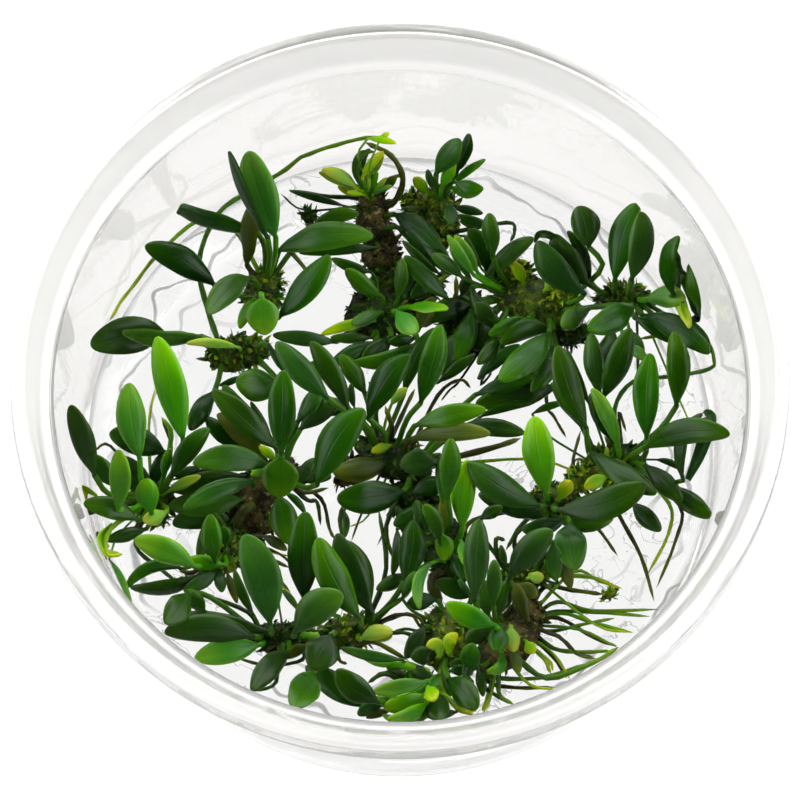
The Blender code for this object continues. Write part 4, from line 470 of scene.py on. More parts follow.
            ("leaf", "dark", 3.6, -10, 0.3, (14.3, -21.8, 26), (20.0, -15.4, 30)),
            ("shoot", "green", 2.1, 6, 0.0, (20.1, -17.0, 28), (20.4, -22.3, 24)),
            ("shoot", "olive", 2.1, 16, -0.2, (21.0, -17.6, 26), (22.3, -23.3, 22)),
            ("shoot", "lime", 1.5, 0, 0.0, (16.8, -22.0, 22), (18.8, -21.8, 23)),
            ("shoot", "olive", 1.9, 0, 0.0, (15.4, -22.8, 22), (17.8, -24.6, 22)),
            ("shoot", "dark", 1.7, 10, 0.2, (10.6, -13.9, 24), (13.5, -12.2, 25)),
        ],
        "stems": [
            ("dark", 0.4, [(15.0, -21.6, 20), (12.8, -19.2, 22), (12.6, -16.6, 23),
                           (13.8, -16.8, 23)]),
        ],
    },
}

# Small growth that only this dressing has: leaves (tone, width, roll, bow, base, tip), stems and
# roots (tone, radius, points), curled leaves (tone, width, points) and cushions of moss (mix,
# middle, size, turn). Each joins the clump whose rhizome is nearest.
moreLeaves = [
    ("dark", 1.6, 10, 0.4, (-3.0, 24.6, 22), (-13.6, 23.8, 23)),
    ("dark", 3.0, -8, 0.5, (-0.6, 27.6, 22), (7.0, 20.6, 24)),
    ("fresh", 1.8, 0, 0.3, (10.5, 20.8, 25), (7.4, 26.4, 29)),
    ("dark", 2.8, 14, -0.5, (11.6, 21.2, 22), (9.2, 27.2, 26)),
    ("dark", 1.3, 10, 0.4, (12.0, 28.0, 24), (7.8, 29.3, 25)),
    ("dark", 1.1, 0, -0.2, (10.6, 26.6, 23), (8.0, 28.4, 24)),
    ("dark", 2.4, 10, 0.0, (5.8, 20.4, 21), (1.4, 17.2, 22)),
    ("dark", 2.2, -12, -1.1, (9.6, 18.8, 24), (13.4, 13.8, 24)),
    ("dark", 2.8, 8, 0.0, (9.6, 16.4, 21), (3.2, 14.0, 22)),
    ("green", 3.0, -6, 0.4, (9.4, 15.4, 21), (7.2, 8.2, 22)),
    ("dark", 2.6, 10, 0.3, (10.6, 13.2, 20), (13.4, 8.2, 21)),
    ("dark", 2.6, -10, 0.3, (12.8, 15.2, 20), (9.8, 9.8, 21)),
    ("dark", 2.8, 12, -0.8, (20.2, 12.6, 23), (13.4, 10.6, 25)),
    ("dark", 3.0, 5, 0.0, (8.6, 12.4, 21), (4.8, 6.2, 22)),
    ("dark", 2.6, -10, 0.4, (20.2, 10.2, 23), (17.4, 3.8, 25)),
    ("dark", 3.6, 12, 1.2, (25.4, 19.2, 24), (20.8, 26.6, 28)),
    ("dark", 2.6, 8, 0.4, (-6.6, 1.2, 22), (-12.8, 2.6, 23)),
    ("green", 2.4, -8, 0.0, (-4.6, 3.6, 22), (-8.0, 9.2, 25)),
    ("lime", 1.3, 0, 0.2, (-1.2, 2.0, 22), (1.0, 4.4, 23)),
    ("dark", 3.4, 10, 0.5, (20.8, 4.6, 22), (10.0, 2.2, 23)),
    ("dark", 2.6, -6, -0.4, (20.0, 7.0, 21), (12.2, 4.6, 22)),
    ("dark", 2.6, 14, 0.3, (5.2, -5.0, 22), (5.8, -12.0, 23)),
    ("dark", 4.2, 6, 0.6, (0.4, -10.0, 23), (-8.3, -11.0, 26)),
    ("olive", 3.2, -10, 0.4, (-1.6, -6.0, 21), (-8.8, -7.4, 23)),
    ("dark", 2.6, 10, 0.3, (1.5, -10.4, 22), (6.4, -9.0, 23)),
    ("dark", 2.2, -8, 0.0, (2.6, -12.0, 22), (-0.8, -14.8, 22)),
    ("olive", 2.2, 5, 0.0, (4.0, -12.0, 21), (6.2, -15.4, 22)),
    ("dark", 2.4, 10, 0.4, (21.6, -14.0, 23), (16.0, -15.4, 24)),
    ("dark", 2.8, 10, 1.0, (-16.2, -3.6, 25), (-23.4, 4.9, 28)),
    ("dark", 2.4, -10, 0.5, (-20.4, -3.9, 23), (-25.6, 0.4, 24)),
    ("dark", 2.8, 5, 0.0, (-13.2, -1.4, 23), (-7.8, 2.8, 24)),
    ("lime", 1.2, 0, 0.0, (-16.3, -5.7, 25), (-18.6, -3.7, 26)),
    ("dark", 3.2, 10, 0.4, (-20.2, -8.0, 21), (-30.2, -9.6, 23)),
    ("green", 3.4, -6, 0.4, (-20.6, -11.2, 21), (-30.4, -12.0, 22)),
    ("dark", 3.2, 8, -0.4, (-22.0, -14.2, 20), (-29.8, -14.6, 21)),
    ("lime", 2.0, 0, 0.2, (-30.6, -12.8, 23), (-33.8, -14.0, 24)),
    ("dark", 2.2, 8, 0.3, (-24.4, -13.2, 22), (-26.4, -19.2, 23)),
    ("green", 1.7, 12, -1.3, (-28.4, -20.7, 22), (-35.8, -23.5, 23)),
    ("dark", 2.0, -8, 0.2, (-23.8, -20.6, 22), (-28.2, -23.8, 24)),
    ("fresh", 0.9, 0, 0.3, (-38.0, -19.4, 24), (-35.2, -25.5, 24)),
    ("dark", 2.2, 0, 0.2, (-32.6, -9.0, 22), (-36.4, -5.2, 23)),
    ("dark", 1.9, 10, 0.0, (-32.8, -9.4, 21), (-31.2, -4.6, 23)),
    ("dark", 1.7, 0, 0.0, (-34.2, -9.8, 22), (-36.8, -7.8, 22)),
    ("dark", 1.8, 10, 0.2, (-13.6, -9.4, 22), (-11.2, -5.4, 23)),
    ("dark", 3.4, -12, -0.4, (-4.2, -26.2, 23), (-7.2, -16.8, 27)),
    ("lime", 2.0, 10, 0.3, (-5.1, -30.3, 23), (-0.9, -29.3, 24)),
    ("dark", 2.0, 6, 0.2, (-2.0, -38.0, 23), (-5.5, -40.4, 24)),
    ("olive", 1.1, 0, 0.1, (-1.2, -39.8, 23), (-4.4, -40.8, 23)),
    ("olive", 1.5, 0, 0.1, (-12.0, -31.0, 23), (-14.8, -32.8, 23)),
    ("dark", 2.2, 6, 0.0, (4.8, -24.8, 21), (0.8, -25.8, 22)),
    ("dark", 2.6, -8, 0.3, (9.4, -24.4, 21), (4.8, -22.3, 22)),
    ("dark", 2.3, 8, 0.0, (11.5, -27.2, 22), (10.3, -21.8, 24)),
    ("dark", 2.8, -6, 0.3, (12.9, -27.0, 22), (14.8, -22.4, 23)),
    ("dark", 2.4, 8, 0.0, (11.6, -29.2, 22), (8.4, -30.6, 22)),
    ("dark", 2.0, 0, 0.2, (10.4, -34.0, 22), (6.4, -33.5, 23)),
    ("dark", 1.0, 0, 0.1, (13.9, -20.4, 22), (13.2, -17.4, 23)),
    ("green", 1.3, 0, 0.1, (20.6, -22.6, 22), (18.9, -19.4, 24)),
    ("dark", 1.6, 0, 0.1, (4.6, -36.0, 22), (1.2, -33.6, 22)),
    ("dark", 2.2, 8, 0.2, (3.2, -28.6, 22), (0.7, -32.8, 22)),
    ("dark", 1.6, 4, 0.0, (1.5, -17.6, 21), (-0.5, -12.0, 22)),
    ("dark", 1.3, 0, 0.0, (37.0, 19.4, 26), (35.5, 22.3, 27)),
    ("dark", 3.2, 8, 0.5, (32.4, 14.8, 23), (41.2, 9.3, 27)),
    ("fresh", 1.5, 0, 0.1, (30.2, 10.6, 24), (32.9, 8.3, 25)),
    ("dark", 3.0, 10, 0.2, (28.2, 12.8, 23), (27.4, 6.4, 25)),
    ("dark", 2.4, -8, 0.3, (28.4, -3.2, 23), (25.3, 3.8, 25)),
    ("dark", 0.9, 0, 0.3, (33.6, -5.6, 22), (37.4, -7.3, 22)),
    ("lime", 1.0, 0, 0.1, (-4.4, 40.5, 36), (-0.5, 39.8, 36)),
    ("lime", 0.8, 20, 0.1, (-2.8, 40.2, 36), (-1.4, 41.3, 36.5)),
    ("lime", 1.6, 0, -0.3, (-5.8, 33.2, 25), (-10.6, 35.9, 28)),
    ("lime", 1.2, 0, 0.2, (-5.2, 34.6, 27), (-2.2, 38.6, 31)),
    ("lime", 0.7, 0, 0.0, (-4.8, 32.6, 24), (-7.0, 34.0, 26)),
    ("fresh", 0.7, 0, 0.0, (-4.4, 32.8, 24), (-5.6, 35.0, 27)),
    ("lime", 0.7, 0, 0.0, (-4.2, 32.8, 24), (-4.4, 35.4, 27)),
    ("fresh", 0.8, 0, 0.0, (-3.8, 32.8, 24), (-3.0, 35.6, 27)),
    ("lime", 0.7, 0, 0.0, (-3.6, 32.6, 24), (-1.8, 34.8, 26)),
    ("fresh", 0.7, 0, 0.0, (-3.6, 32.2, 24), (-1.0, 33.6, 26)),
    ("lime", 0.7, 0, 0.0, (-4.8, 32.2, 24), (-7.2, 32.6, 25)),
    ("dark", 1.0, 0, 0.0, (4.4, 33.0, 25), (3.7, 36.0, 27)),
    ("fresh", 1.7, 10, 0.2, (5.6, 33.2, 25), (7.5, 37.2, 29)),
    ("green", 1.9, 0, -0.6, (7.4, 34.2, 26), (11.3, 33.2, 27)),
    ("dark", 1.0, 0, 0.2, (-7.4, 30.6, 22), (-15.0, 32.9, 23)),
    ("dark", 1.8, 0, 0.2, (-39.4, -12.0, 23), (-41.8, -12.5, 24)),
    ("olive", 2.2, 0, 0.2, (2.4, 12.6, 22), (4.6, 17.4, 23)),
    ("dark", 2.6, 10, 0.2, (-1.2, 11.6, 22), (-5.2, 8.0, 23)),
    ("dark", 2.4, -8, 0.2, (-4.0, 17.6, 22), (-6.6, 21.6, 23)),
    ("dark", 2.2, 0, 0.2, (0.8, 17.8, 22), (1.6, 22.6, 23)),
    ("dark", 1.3, 10, 0.3, (5.5, 20.6, 23), (0.3, 25.6, 25)),
    ("dark", 1.5, 0, 0.3, (-3.8, 21.0, 22), (-9.2, 23.0, 23)),
    ("dark", 1.5, 10, 0.2, (-3.8, 11.6, 22), (-9.3, 11.6, 23)),
    ("dark", 1.7, 0, 0.2, (2.0, 11.5, 22), (-1.6, 11.0, 23)),
    ("dark", 2.1, 10, 0.3, (0.5, 3.6, 22), (4.6, 13.0, 26)),
    ("dark", 1.6, 0, -0.2, (5.0, 5.2, 22), (9.9, 9.2, 24)),
    ("dark", 1.8, 12, 0.3, (10.5, 5.8, 22), (16.0, 10.6, 24)),
    ("dark", 1.3, 0, 0.3, (10.5, 0.3, 22), (17.5, 2.2, 23)),
    ("green", 1.0, 0, 0.2, (17.5, 0.8, 22), (22.0, 2.4, 23)),
    ("dark", 1.1, 10, 0.2, (25.2, 1.8, 22), (22.2, 10.0, 25)),
    ("dark", 1.7, -10, -0.5, (25.5, 19.8, 23), (22.5, 27.0, 27)),
    ("green", 1.0, 0, 0.2, (9.8, 19.5, 23), (6.7, 24.5, 26)),
    ("dark", 1.6, 0, 0.0, (8.2, 17.6, 22), (9.3, 20.6, 23)),
    ("dark", 1.1, 0, 0.2, (11.0, 21.4, 24), (8.7, 26.4, 27)),
    ("dark", 2.0, 8, 0.4, (-8.5, 11.0, 22), (-17.0, 12.0, 24)),
    ("dark", 1.1, 0, 0.2, (-16.8, -3.0, 23), (-19.8, 2.6, 26)),
    ("dark", 1.5, 0, 0.3, (-26.4, -6.6, 22), (-30.0, -7.6, 23)),
    ("dark", 0.9, 0, 0.2, (-21.0, 6.2, 23), (-24.0, 4.8, 23)),
    ("green", 1.0, 0, 0.3, (-15.2, -10.2, 23), (-12.4, -13.2, 22)),
    ("dark", 1.9, 10, 0.2, (-12.6, -8.8, 22), (-9.0, -8.0, 23)),
    ("olive", 1.4, 0, 0.2, (-18.0, -16.2, 22), (-14.8, -18.2, 22)),
    ("green", 0.9, 0, 0.2, (-15.6, -23.4, 22), (-13.2, -26.4, 22)),
    ("dark", 1.3, 0, 0.3, (-19.0, -27.0, 22), (-21.6, -20.8, 24)),
    ("dark", 0.9, 0, 0.2, (-7.4, -12.6, 22), (-7.2, -16.4, 22)),
    ("dark", 1.4, 10, 0.2, (-0.4, -15.2, 22), (-1.0, -21.6, 23)),
    ("dark", 1.0, 0, 0.2, (-6.0, 1.6, 23), (-6.4, 5.2, 25)),
    ("green", 1.4, 0, 0.4, (0.3, -33.0, 23), (-7.8, -31.4, 24)),
    ("green", 1.3, 8, 0.2, (0.3, -24.8, 23), (2.0, -21.0, 25)),
    ("dark", 1.0, 0, 0.2, (9.2, -24.2, 23), (7.7, -22.0, 24)),
    ("dark", 1.5, 0, 0.2, (6.4, -34.6, 23), (8.9, -34.8, 23)),
    ("dark", 1.3, 0, 0.2, (10.0, -34.2, 23), (10.7, -38.0, 23)),
    ("dark", 1.3, 0, 0.2, (7.4, -40.0, 23), (3.3, -40.6, 24)),
    ("dark", 1.1, 0, 0.2, (5.4, -35.0, 23), (6.5, -38.0, 23)),
]
moreStems = [
    ("dark", 0.3, [(12.6, 28.6, 25), (14.4, 28.2, 27), (15.4, 26.8, 27), (14.8, 25.4, 26)]),
    ("lime", 0.4, [(6.6, 18.6, 21), (6.4, 20.6, 23), (6.7, 22.2, 24)]),
    ("dark", 0.4, [(-2.2, -1.6, 21), (-3.2, 0.8, 22), (-3.0, 3.4, 23), (-4.2, 5.4, 24)]),
    ("olive", 0.35, [(0.2, -2.0, 21), (0.6, 1.4, 21), (2.0, 4.4, 21)]),
    ("olive", 0.5, [(8.6, -5.6, 20), (12.0, -4.0, 21), (16.0, -2.6, 21)]),
    ("lime", 0.25, [(10.6, -5.0, 19), (17.0, -5.5, 19), (23.6, -7.4, 19)]),
    ("dark", 0.35, [(-14.0, -10.6, 21), (-12.2, -11.2, 22), (-10.9, -11.5, 22),
                    (-10.4, -14.8, 20)]),
    ("dark", 0.45, [(-5.6, -11.0, 21), (-7.6, -12.8, 21), (-7.4, -16.6, 20)]),
    ("dark", 0.4, [(-1.6, -9.6, 21), (-1.8, -14.8, 21), (-0.8, -19.6, 20)]),
    ("olive", 0.2, [(-4.0, -9.0, 20), (-5.0, -13.0, 19), (-6.4, -17.0, 19)]),
    ("lime", 0.16, [(-3.4, -9.0, 20), (-4.2, -13.4, 19), (-6.8, -15.0, 19)]),
    ("olive", 0.18, [(-2.8, -9.2, 20), (-1.2, -13.6, 19), (-3.0, -17.6, 19)]),
    ("olive", 0.4, [(11.8, -11.2, 22), (9.6, -14.0, 22), (8.5, -16.6, 21)]),
    ("olive", 0.28, [(19.6, 8.0, 20), (19.4, 2.8, 19), (20.4, 0.4, 19), (22.0, -2.6, 19)]),
    ("lime", 0.22, [(24.6, -4.0, 19), (23.2, -5.6, 19), (21.4, -8.8, 20)]),
    ("dark", 0.32, [(-18.0, -8.6, 21), (-25.0, -7.0, 22), (-30.4, -8.6, 22)]),
    ("olive", 0.35, [(-15.6, -9.2, 21), (-12.6, -10.2, 22), (-9.3, -9.5, 22)]),
    ("lime", 0.2, [(-13.6, -3.6, 20), (-12.9, -0.4, 20)]),
    ("fresh", 0.42, [(-31.0, -6.6, 21), (-30.2, -2.4, 22), (-31.6, 0.4, 23)]),
    ("lime", 0.24, [(-32.6, -7.0, 20), (-33.2, -1.0, 20), (-32.5, 4.6, 20)]),
    ("olive", 0.42, [(-23.6, -19.6, 21), (-27.0, -21.2, 21.5), (-29.0, -20.7, 22)]),
    ("lime", 0.2, [(-20.6, -18.6, 20), (-17.0, -21.6, 19), (-13.6, -24.8, 19)]),
    ("lime", 0.26, [(-20.2, -18.0, 20), (-16.4, -20.4, 19), (-15.0, -23.6, 19)]),
    ("olive", 0.22, [(-20.4, -17.4, 20), (-15.8, -18.6, 19), (-13.2, -21.4, 19)]),
    ("olive", 0.2, [(-20.8, -18.8, 20), (-18.0, -22.4, 19), (-16.2, -25.2, 19)]),
    ("lime", 0.18, [(-20.0, -17.0, 20), (-17.6, -18.2, 19), (-14.2, -19.0, 19)]),
    ("green", 0.38, [(-5.0, -28.4, 21), (-1.4, -26.0, 22), (0.8, -24.2, 22), (2.0, -22.0, 21)]),
    ("olive", 0.3, [(-4.6, -28.8, 21), (-0.6, -27.0, 22), (2.2, -27.2, 22), (3.2, -28.6, 21)]),
    ("olive", 0.45, [(-7.8, -31.0, 21), (-5.4, -31.2, 22), (-3.4, -30.6, 22), (1.2, -33.2, 21)]),
    ("dark", 0.42, [(0.8, -36.0, 21), (-2.0, -34.9, 23), (-4.2, -36.2, 22)]),
    ("dark", 0.32, [(-13.6, -32.0, 20), (-16.0, -36.0, 20), (-18.8, -37.3, 20)]),
    ("lime", 0.26, [(4.6, -35.4, 22), (5.9, -37.8, 24), (8.0, -39.6, 25), (10.0, -39.9, 25)]),
    ("green", 0.42, [(12.2, -36.2, 20), (19.0, -35.5, 21), (25.0, -33.4, 23), (28.4, -31.3, 26)]),
    ("green", 0.36, [(11.4, -34.0, 20), (12.8, -37.6, 21), (14.7, -39.0, 22)]),
    ("lime", 0.22, [(11.8, -34.0, 20), (11.6, -38.4, 21), (10.7, -40.2, 22)]),
    ("lime", 0.3, [(17.0, -29.0, 20), (18.4, -32.6, 20), (19.6, -35.0, 20)]),
    ("lime", 0.24, [(17.6, -28.4, 20), (20.0, -32.4, 20), (22.1, -35.9, 20)]),
    ("olive", 0.24, [(17.8, -29.0, 20), (21.0, -30.2, 21), (23.2, -32.4, 21), (25.4, -32.9, 21)]),
    ("lime", 0.34, [(19.4, -21.4, 20), (24.8, -21.8, 20), (28.5, -23.4, 20)]),
    ("dark", 0.35, [(13.6, -18.9, 21), (15.0, -16.6, 21), (16.8, -14.4, 22)]),
    ("fresh", 0.75, [(1.0, -36.0, 21), (-1.4, -33.7, 22), (1.6, -34.0, 22), (4.2, -35.0, 22)]),
    ("dark", 0.25, [(2.0, -30.0, 21), (1.2, -28.9, 22), (-0.9, -29.2, 21)]),
    ("olive", 0.28, [(27.4, 4.6, 20), (29.0, 1.0, 19), (29.9, -1.8, 19)]),
    ("olive", 0.22, [(29.6, 5.4, 20), (31.8, 0.4, 19), (33.2, -2.0, 19)]),
    ("lime", 0.18, [(34.6, 7.0, 21), (37.2, 2.4, 20), (38.6, -1.0, 20)]),
    ("olive", 0.32, [(-2.4, 31.6, 22), (-2.2, 34.0, 25), (-0.8, 34.9, 26), (0.7, 35.1, 25)]),
    ("dark", 0.18, [(-8.0, 29.6, 19), (-12.8, 30.0, 19), (-16.2, 32.5, 19)]),
    ("dark", 0.25, [(-35.6, -6.0, 22), (-38.2, -3.7, 23), (-40.4, -4.4, 22)]),
    ("olive", 0.28, [(-33.6, -13.6, 21), (-35.6, -16.4, 22), (-38.6, -17.0, 22)]),
    ("dark", 0.2, [(8.0, 10.0, 20), (8.4, 6.2, 19), (6.6, 4.2, 19), (5.4, 2.6, 19)]),
    ("dark", 0.22, [(9.4, 9.0, 20), (10.8, 5.4, 19), (12.0, 6.4, 19), (11.6, 7.4, 19)]),
    ("lime", 0.26, [(13.3, -36.3, 22), (16.8, -36.4, 21.5), (20.3, -37.0, 21)]),
    ("green", 0.24, [(18.7, -27.9, 22), (23.4, -29.0, 21.5), (28.4, -31.5, 21)]),
    ("lime", 0.24, [(18.4, -31.5, 22), (19.2, -33.0, 21.5), (19.8, -34.6, 21)]),
    ("lime", 0.22, [(20.4, -26.6, 22), (25.4, -28.3, 21.5), (30.2, -29.4, 21)]),
]
curledLeaves = [
    ("dark", 2.3, [(38.0, 15.8, 24), (37.0, 19.0, 26), (38.0, 22.6, 28), (39.1, 24.6, 29),
                   (38.8, 25.9, 29), (37.6, 26.1, 28)]),
    ("dark", 1.9, [(38.6, 13.8, 24), (40.6, 14.8, 25), (41.6, 17.4, 27), (41.8, 20.2, 28),
                   (41.0, 22.3, 28), (39.7, 22.8, 27)]),
    ("lime", 1.2, [(37.8, 17.4, 26), (37.9, 15.4, 27), (38.9, 13.1, 27)]),
    ("dark", 2.2, [(38.0, -8.4, 23), (39.6, -5.2, 25), (40.8, -1.8, 27), (41.2, 0.2, 27),
                   (40.9, 0.9, 27), (40.2, 0.8, 26)]),
    ("dark", 1.2, [(22.2, 24.6, 27), (20.4, 26.4, 28), (18.7, 26.6, 27.5), (18.0, 25.2, 26)]),
    ("green", 1.1, [(-5.0, 33.2, 25), (-5.9, 35.8, 28), (-5.3, 38.1, 30), (-3.3, 38.6, 30)]),
    ("lime", 1.0, [(-39.8, -10.6, 23), (-41.6, -9.5, 24), (-43.0, -10.2, 24), (-43.0, -11.7, 23)]),
    ("lime", 1.5, [(-37.8, -14.6, 24), (-39.2, -16.4, 25), (-38.8, -18.5, 25), (-36.5, -18.6, 24)]),
    ("olive", 0.9, [(-39.6, -15.6, 23), (-40.2, -17.2, 23), (-39.6, -18.9, 23),
                    (-38.2, -19.5, 23)]),
    ("fresh", 2.2, [(4.6, -35.4, 23), (2.6, -37.6, 25), (-0.6, -38.6, 26), (-3.8, -38.0, 25)]),
    ("fresh", 2.0, [(4.8, -36.4, 23), (3.4, -39.4, 25), (0.4, -41.0, 26), (-2.4, -40.4, 25)]),
    ("dark", 1.4, [(10.8, -31.4, 23), (9.0, -33.0, 24), (8.4, -35.2, 24), (9.6, -36.2, 23)]),
]
mossCushions = [
    ("brown", (-2.4, 23.4), (8.0, 5.2, 3.4), 95),
    ("green", (-1.0, 19.4), (6.0, 4.6, 3.2), 30),
    ("lime", (2.4, 30.6), (4.4, 3.8, 3.0), 0),
    ("dark", (3.4, 18.4), (5.0, 4.0, 3.0), 20),
    ("dark", (8.8, 13.2), (9.0, 6.4, 3.0), 75),
    ("dark", (22.4, 11.8), (5.6, 3.4, 2.8), 0),
    ("lime", (15.0, 20.2), (5.4, 4.2, 4.4), 20),
    ("lime", (21.4, 17.2), (4.6, 4.6, 4.2), 80),
    ("brown", (-6.8, -7.4), (4.6, 3.4, 2.8), 40),
    ("dark", (1.4, -11.6), (8.0, 4.2, 2.8), -10),
    ("brown", (-23.8, -12.2), (9.0, 5.4, 3.0), 10),
    ("brown", (-19.0, -14.4), (5.4, 5.0, 3.4), 80),
    ("lime", (-22.4, -20.0), (3.4, 2.6, 2.4), 60),
    ("lime", (23.8, -8.8), (3.6, 3.2, 3.0), 0),
    ("lime", (27.3, -7.0), (5.6, 4.6, 4.2), 20),
    ("dark", (-12.2, 28.7), (2.2, 1.8, 1.2), 0),
    ("lime", (27.3, -24.3), (2.2, 1.3, 1.4), 20),
    ("brown", (16.4, -27.6), (5.4, 4.4, 4.6), 50),
    ("lime", (13.4, -30.8), (4.6, 4.2, 4.4), 40),
    ("lime", (6.6, -31.6), (5.6, 3.6, 4.2), 10),
    ("lime", (-28.0, -22.6), (1.6, 1.2, 1.4), 0),
    ("lime", (-32.0, -14.0), (2.8, 2.2, 3.0), 0),
]


def seen(u, v, z):
    # the point z high on the sight line through (u, v)
    onPlan = Vector((u, v, planHeight))
    return eye + (onPlan - eye) * ((eye.z - z) / (eye.z - planHeight))


def innerRadius(z):
    share = (z - cup["wallLowHeight"]) / (cup["wallTopHeight"] - cup["wallLowHeight"])
    radius = cup["wallLowRadius"] + (cup["wallTopRadius"] - cup["wallLowRadius"]) * min(share, 1.0)
    return radius * math.cos(math.pi / cup["cadSides"])


def gelTop(x, y):
    edge = max(0.0, 1.0 - math.hypot(x, y) / gel["cadRing"])
    wave = math.sin(x / 6.0 + 0.4) * math.cos(y / 7.0 - 0.8) + 0.5 * math.sin((x - y) / 4.0)
    return gel["height"] + gel["wave"] * wave * min(1.0, 3.0 * edge)


def keptInside(point, margin):
    # a point moved the least way that keeps it clear of the wall and the gel
    limit = innerRadius(point.z) - margin
    radius = math.hypot(point.x, point.y)
    if radius > limit:
        point.x *= limit / radius
        point.y *= limit / radius
    point.z = max(point.z, gelTop(point.x, point.y) + margin)
    return point


def ringInside(ring, margin):
    # a section moved whole until it is clear of the wall and the gel
    worst = max(ring, key=lambda corner: math.hypot(corner.x, corner.y) - innerRadius(corner.z))
    shift = keptInside(worst.copy(), margin) - worst
    shift.z = max(0.0, max(gelTop(corner.x, corner.y) + margin - corner.z for corner in ring))
    return [keptInside(corner + shift, margin) for corner in ring]


def smoothPath(points, count):
    # a curve that passes every point and leaves each one smoothly
    ends = [2 * points[0] - points[1]] + points + [2 * points[-1] - points[-2]]
    path = []
    for step in range(count):
        place = step / (count - 1) * (len(points) - 1)
        span = min(int(place), len(points) - 2)
        t = place - span
        a, b, c, d = ends[span:span + 4]
        path.append(
            0.5 * (2 * b + (c - a) * t + (2 * a - 5 * b + 4 * c - d) * t**2
                   + (3 * b - a - 3 * c + d) * t**3)
        )
    return path


def across(path, index, roll):
    # side and face directions of a leaf or stem at one point of its path
    ahead = path[min(index + 1, len(path) - 1)] - path[max(index - 1, 0)]
    ahead.normalize()
    face = eye - path[index]
    face = (face - ahead * face.dot(ahead)).normalized()
    side = ahead.cross(face)
    turn = math.radians(roll)
    return (
        side * math.cos(turn) + face * math.sin(turn),
        face * math.cos(turn) - side * math.sin(turn),
    )


def bladeWidth(t):
    # a long oval, full at both ends
    return max(0.0, math.sin(math.pi * t**0.95)) ** 0.62


def bladeSteps(row):
    if row[0] == "leaf":
        return leafSteps
    return shootSteps if row[2] > leaf["budWidth"] else budSteps


def bladePoints(row, lift, steps):
    bow, base, tip = row[4:7]
    root = seen(base[0], base[1], base[2] + lift)
    end = seen(tip[0], tip[1], tip[2] + lift)
    run = end - root
    toEye = (eye - root).normalized()
    sideways = toEye.cross(run.normalized()).normalized()
    middle = (root + end) / 2 + sideways * bow + Vector((0, 0, leaf["arch"] * run.length))
    return [
        root * (1 - t) ** 2 + (2 * middle - (root + end) / 2) * 2 * t * (1 - t) + end * t**2
        for t in steps
    ]


def petioleStops(row, clump, lift):
    # the points that a petiole passes, from the rhizome to the blade
    via = row[7] if len(row) > 7 else []
    blade = bladePoints(row, lift, bladeSteps(row))
    root = blade[0]
    stops = [seen(u, v, z + leaf["viaLift"] * lift) for u, v, z in reversed(via)] + [root]
    start = growthPoint(clump, stops[0])
    if len(stops) == 1:
        knee = root - (blade[1] - root).normalized() * leaf["knee"] * (root - start).length
        stops.insert(0, (knee + start + root) / 3)
    stops.insert(0, start)
    return stops


def solidLeafPath(row, clump, lift, part):
    via = row[7] if len(row) > 7 else []
    blade = bladePoints(row, lift, bladeSteps(row))
    stops = petioleStops(row, clump, lift)
    petiole = smoothPath(stops, 3 + len(via))
    if row[0] == "shoot" and not via:
        petiole = [petiole[0], petiole[-1]]
    if part < 1:
        spans = settle["pathSpans"]
        petiole = smoothPath(stops, spans + 1)[round(spans * (1 - part)):]
        petiole = [petiole[0], petiole[len(petiole) // 2], petiole[-1]]
    return petiole, blade


def solidLeaf(row, clump, lift, part, extra=0.0):
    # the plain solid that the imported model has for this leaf
    width, roll = row[2:4]
    steps = bladeSteps(row)
    petiole, blade = solidLeafPath(row, clump, lift, part)
    path = petiole + blade[1:]
    rings = []
    for index in range(len(path) - 1):
        inBlade = index - (len(petiole) - 1)
        side, face = across(path, index, roll if inBlade > 0 else 0)
        halfSide = halfFace = leaf["petiole"] + extra
        if inBlade > 0:
            halfSide = 0.5 * width * bladeWidth(steps[inBlade]) + extra
            halfFace = 0.5 * leaf["thickness"] + extra
        point = path[index]
        rings.append([
            point - side * halfSide + face * halfFace,
            point - face * halfFace,
            point + side * halfSide + face * halfFace,
        ])
    last = path[-1] - path[-2]
    tip = path[-1] + last.normalized() * extra
    vertices = [corner for ring in rings for corner in ringInside(ring, gel["gap"])]
    vertices.append(keptInside(tip, gel["gap"]))
    return vertices, tubeFaces(len(rings), cadCorners), len(petiole) - 1


def tubeFaces(rings, corners):
    faces = [list(range(corners))]
    for ring in range(rings - 1):
        for side in range(corners):
            a = ring * corners + side
            b = ring * corners + (side + 1) % corners
            faces.append([a, a + corners, b + corners, b])
    last = (rings - 1) * corners
    for side in range(corners):
        faces.append([last + side, rings * corners, last + (side + 1) % corners])
    return faces


def stemSections(points):
    return points + 1 if points <= 3 else max(5, round(0.8 * points))


def solidStem(radius, planPoints, clump):
    points = [seen(*point) for point in planPoints]
    points[0] = growthPoint(clump, points[1])
    path = smoothPath(points, stemSections(len(points)))
    vertices = []
    for index in range(len(path) - 1):
        side, face = across(path, index, 0)
        size = radius * (1.0 - stemTaper * index / len(path))
        ring = []
        for corner in range(cadCorners):
            angle = 2 * math.pi * corner / cadCorners
            offset = side * math.cos(angle) - face * math.sin(angle)
            ring.append(path[index] + offset * size)
        vertices += ringInside(ring, gel["gap"])
    vertices.append(keptInside(path[-1].copy(), gel["gap"]))
    return vertices, tubeFaces(len(path) - 1, cadCorners)


def rhizomeCentre(clump):
    (u, v), size = clump["rhizome"][:2]
    centre = seen(u, v, gel["height"] + size[2] / 2)
    centre.z = gelTop(centre.x, centre.y) + size[2] / 2 + 2 * gel["gap"]
    return centre


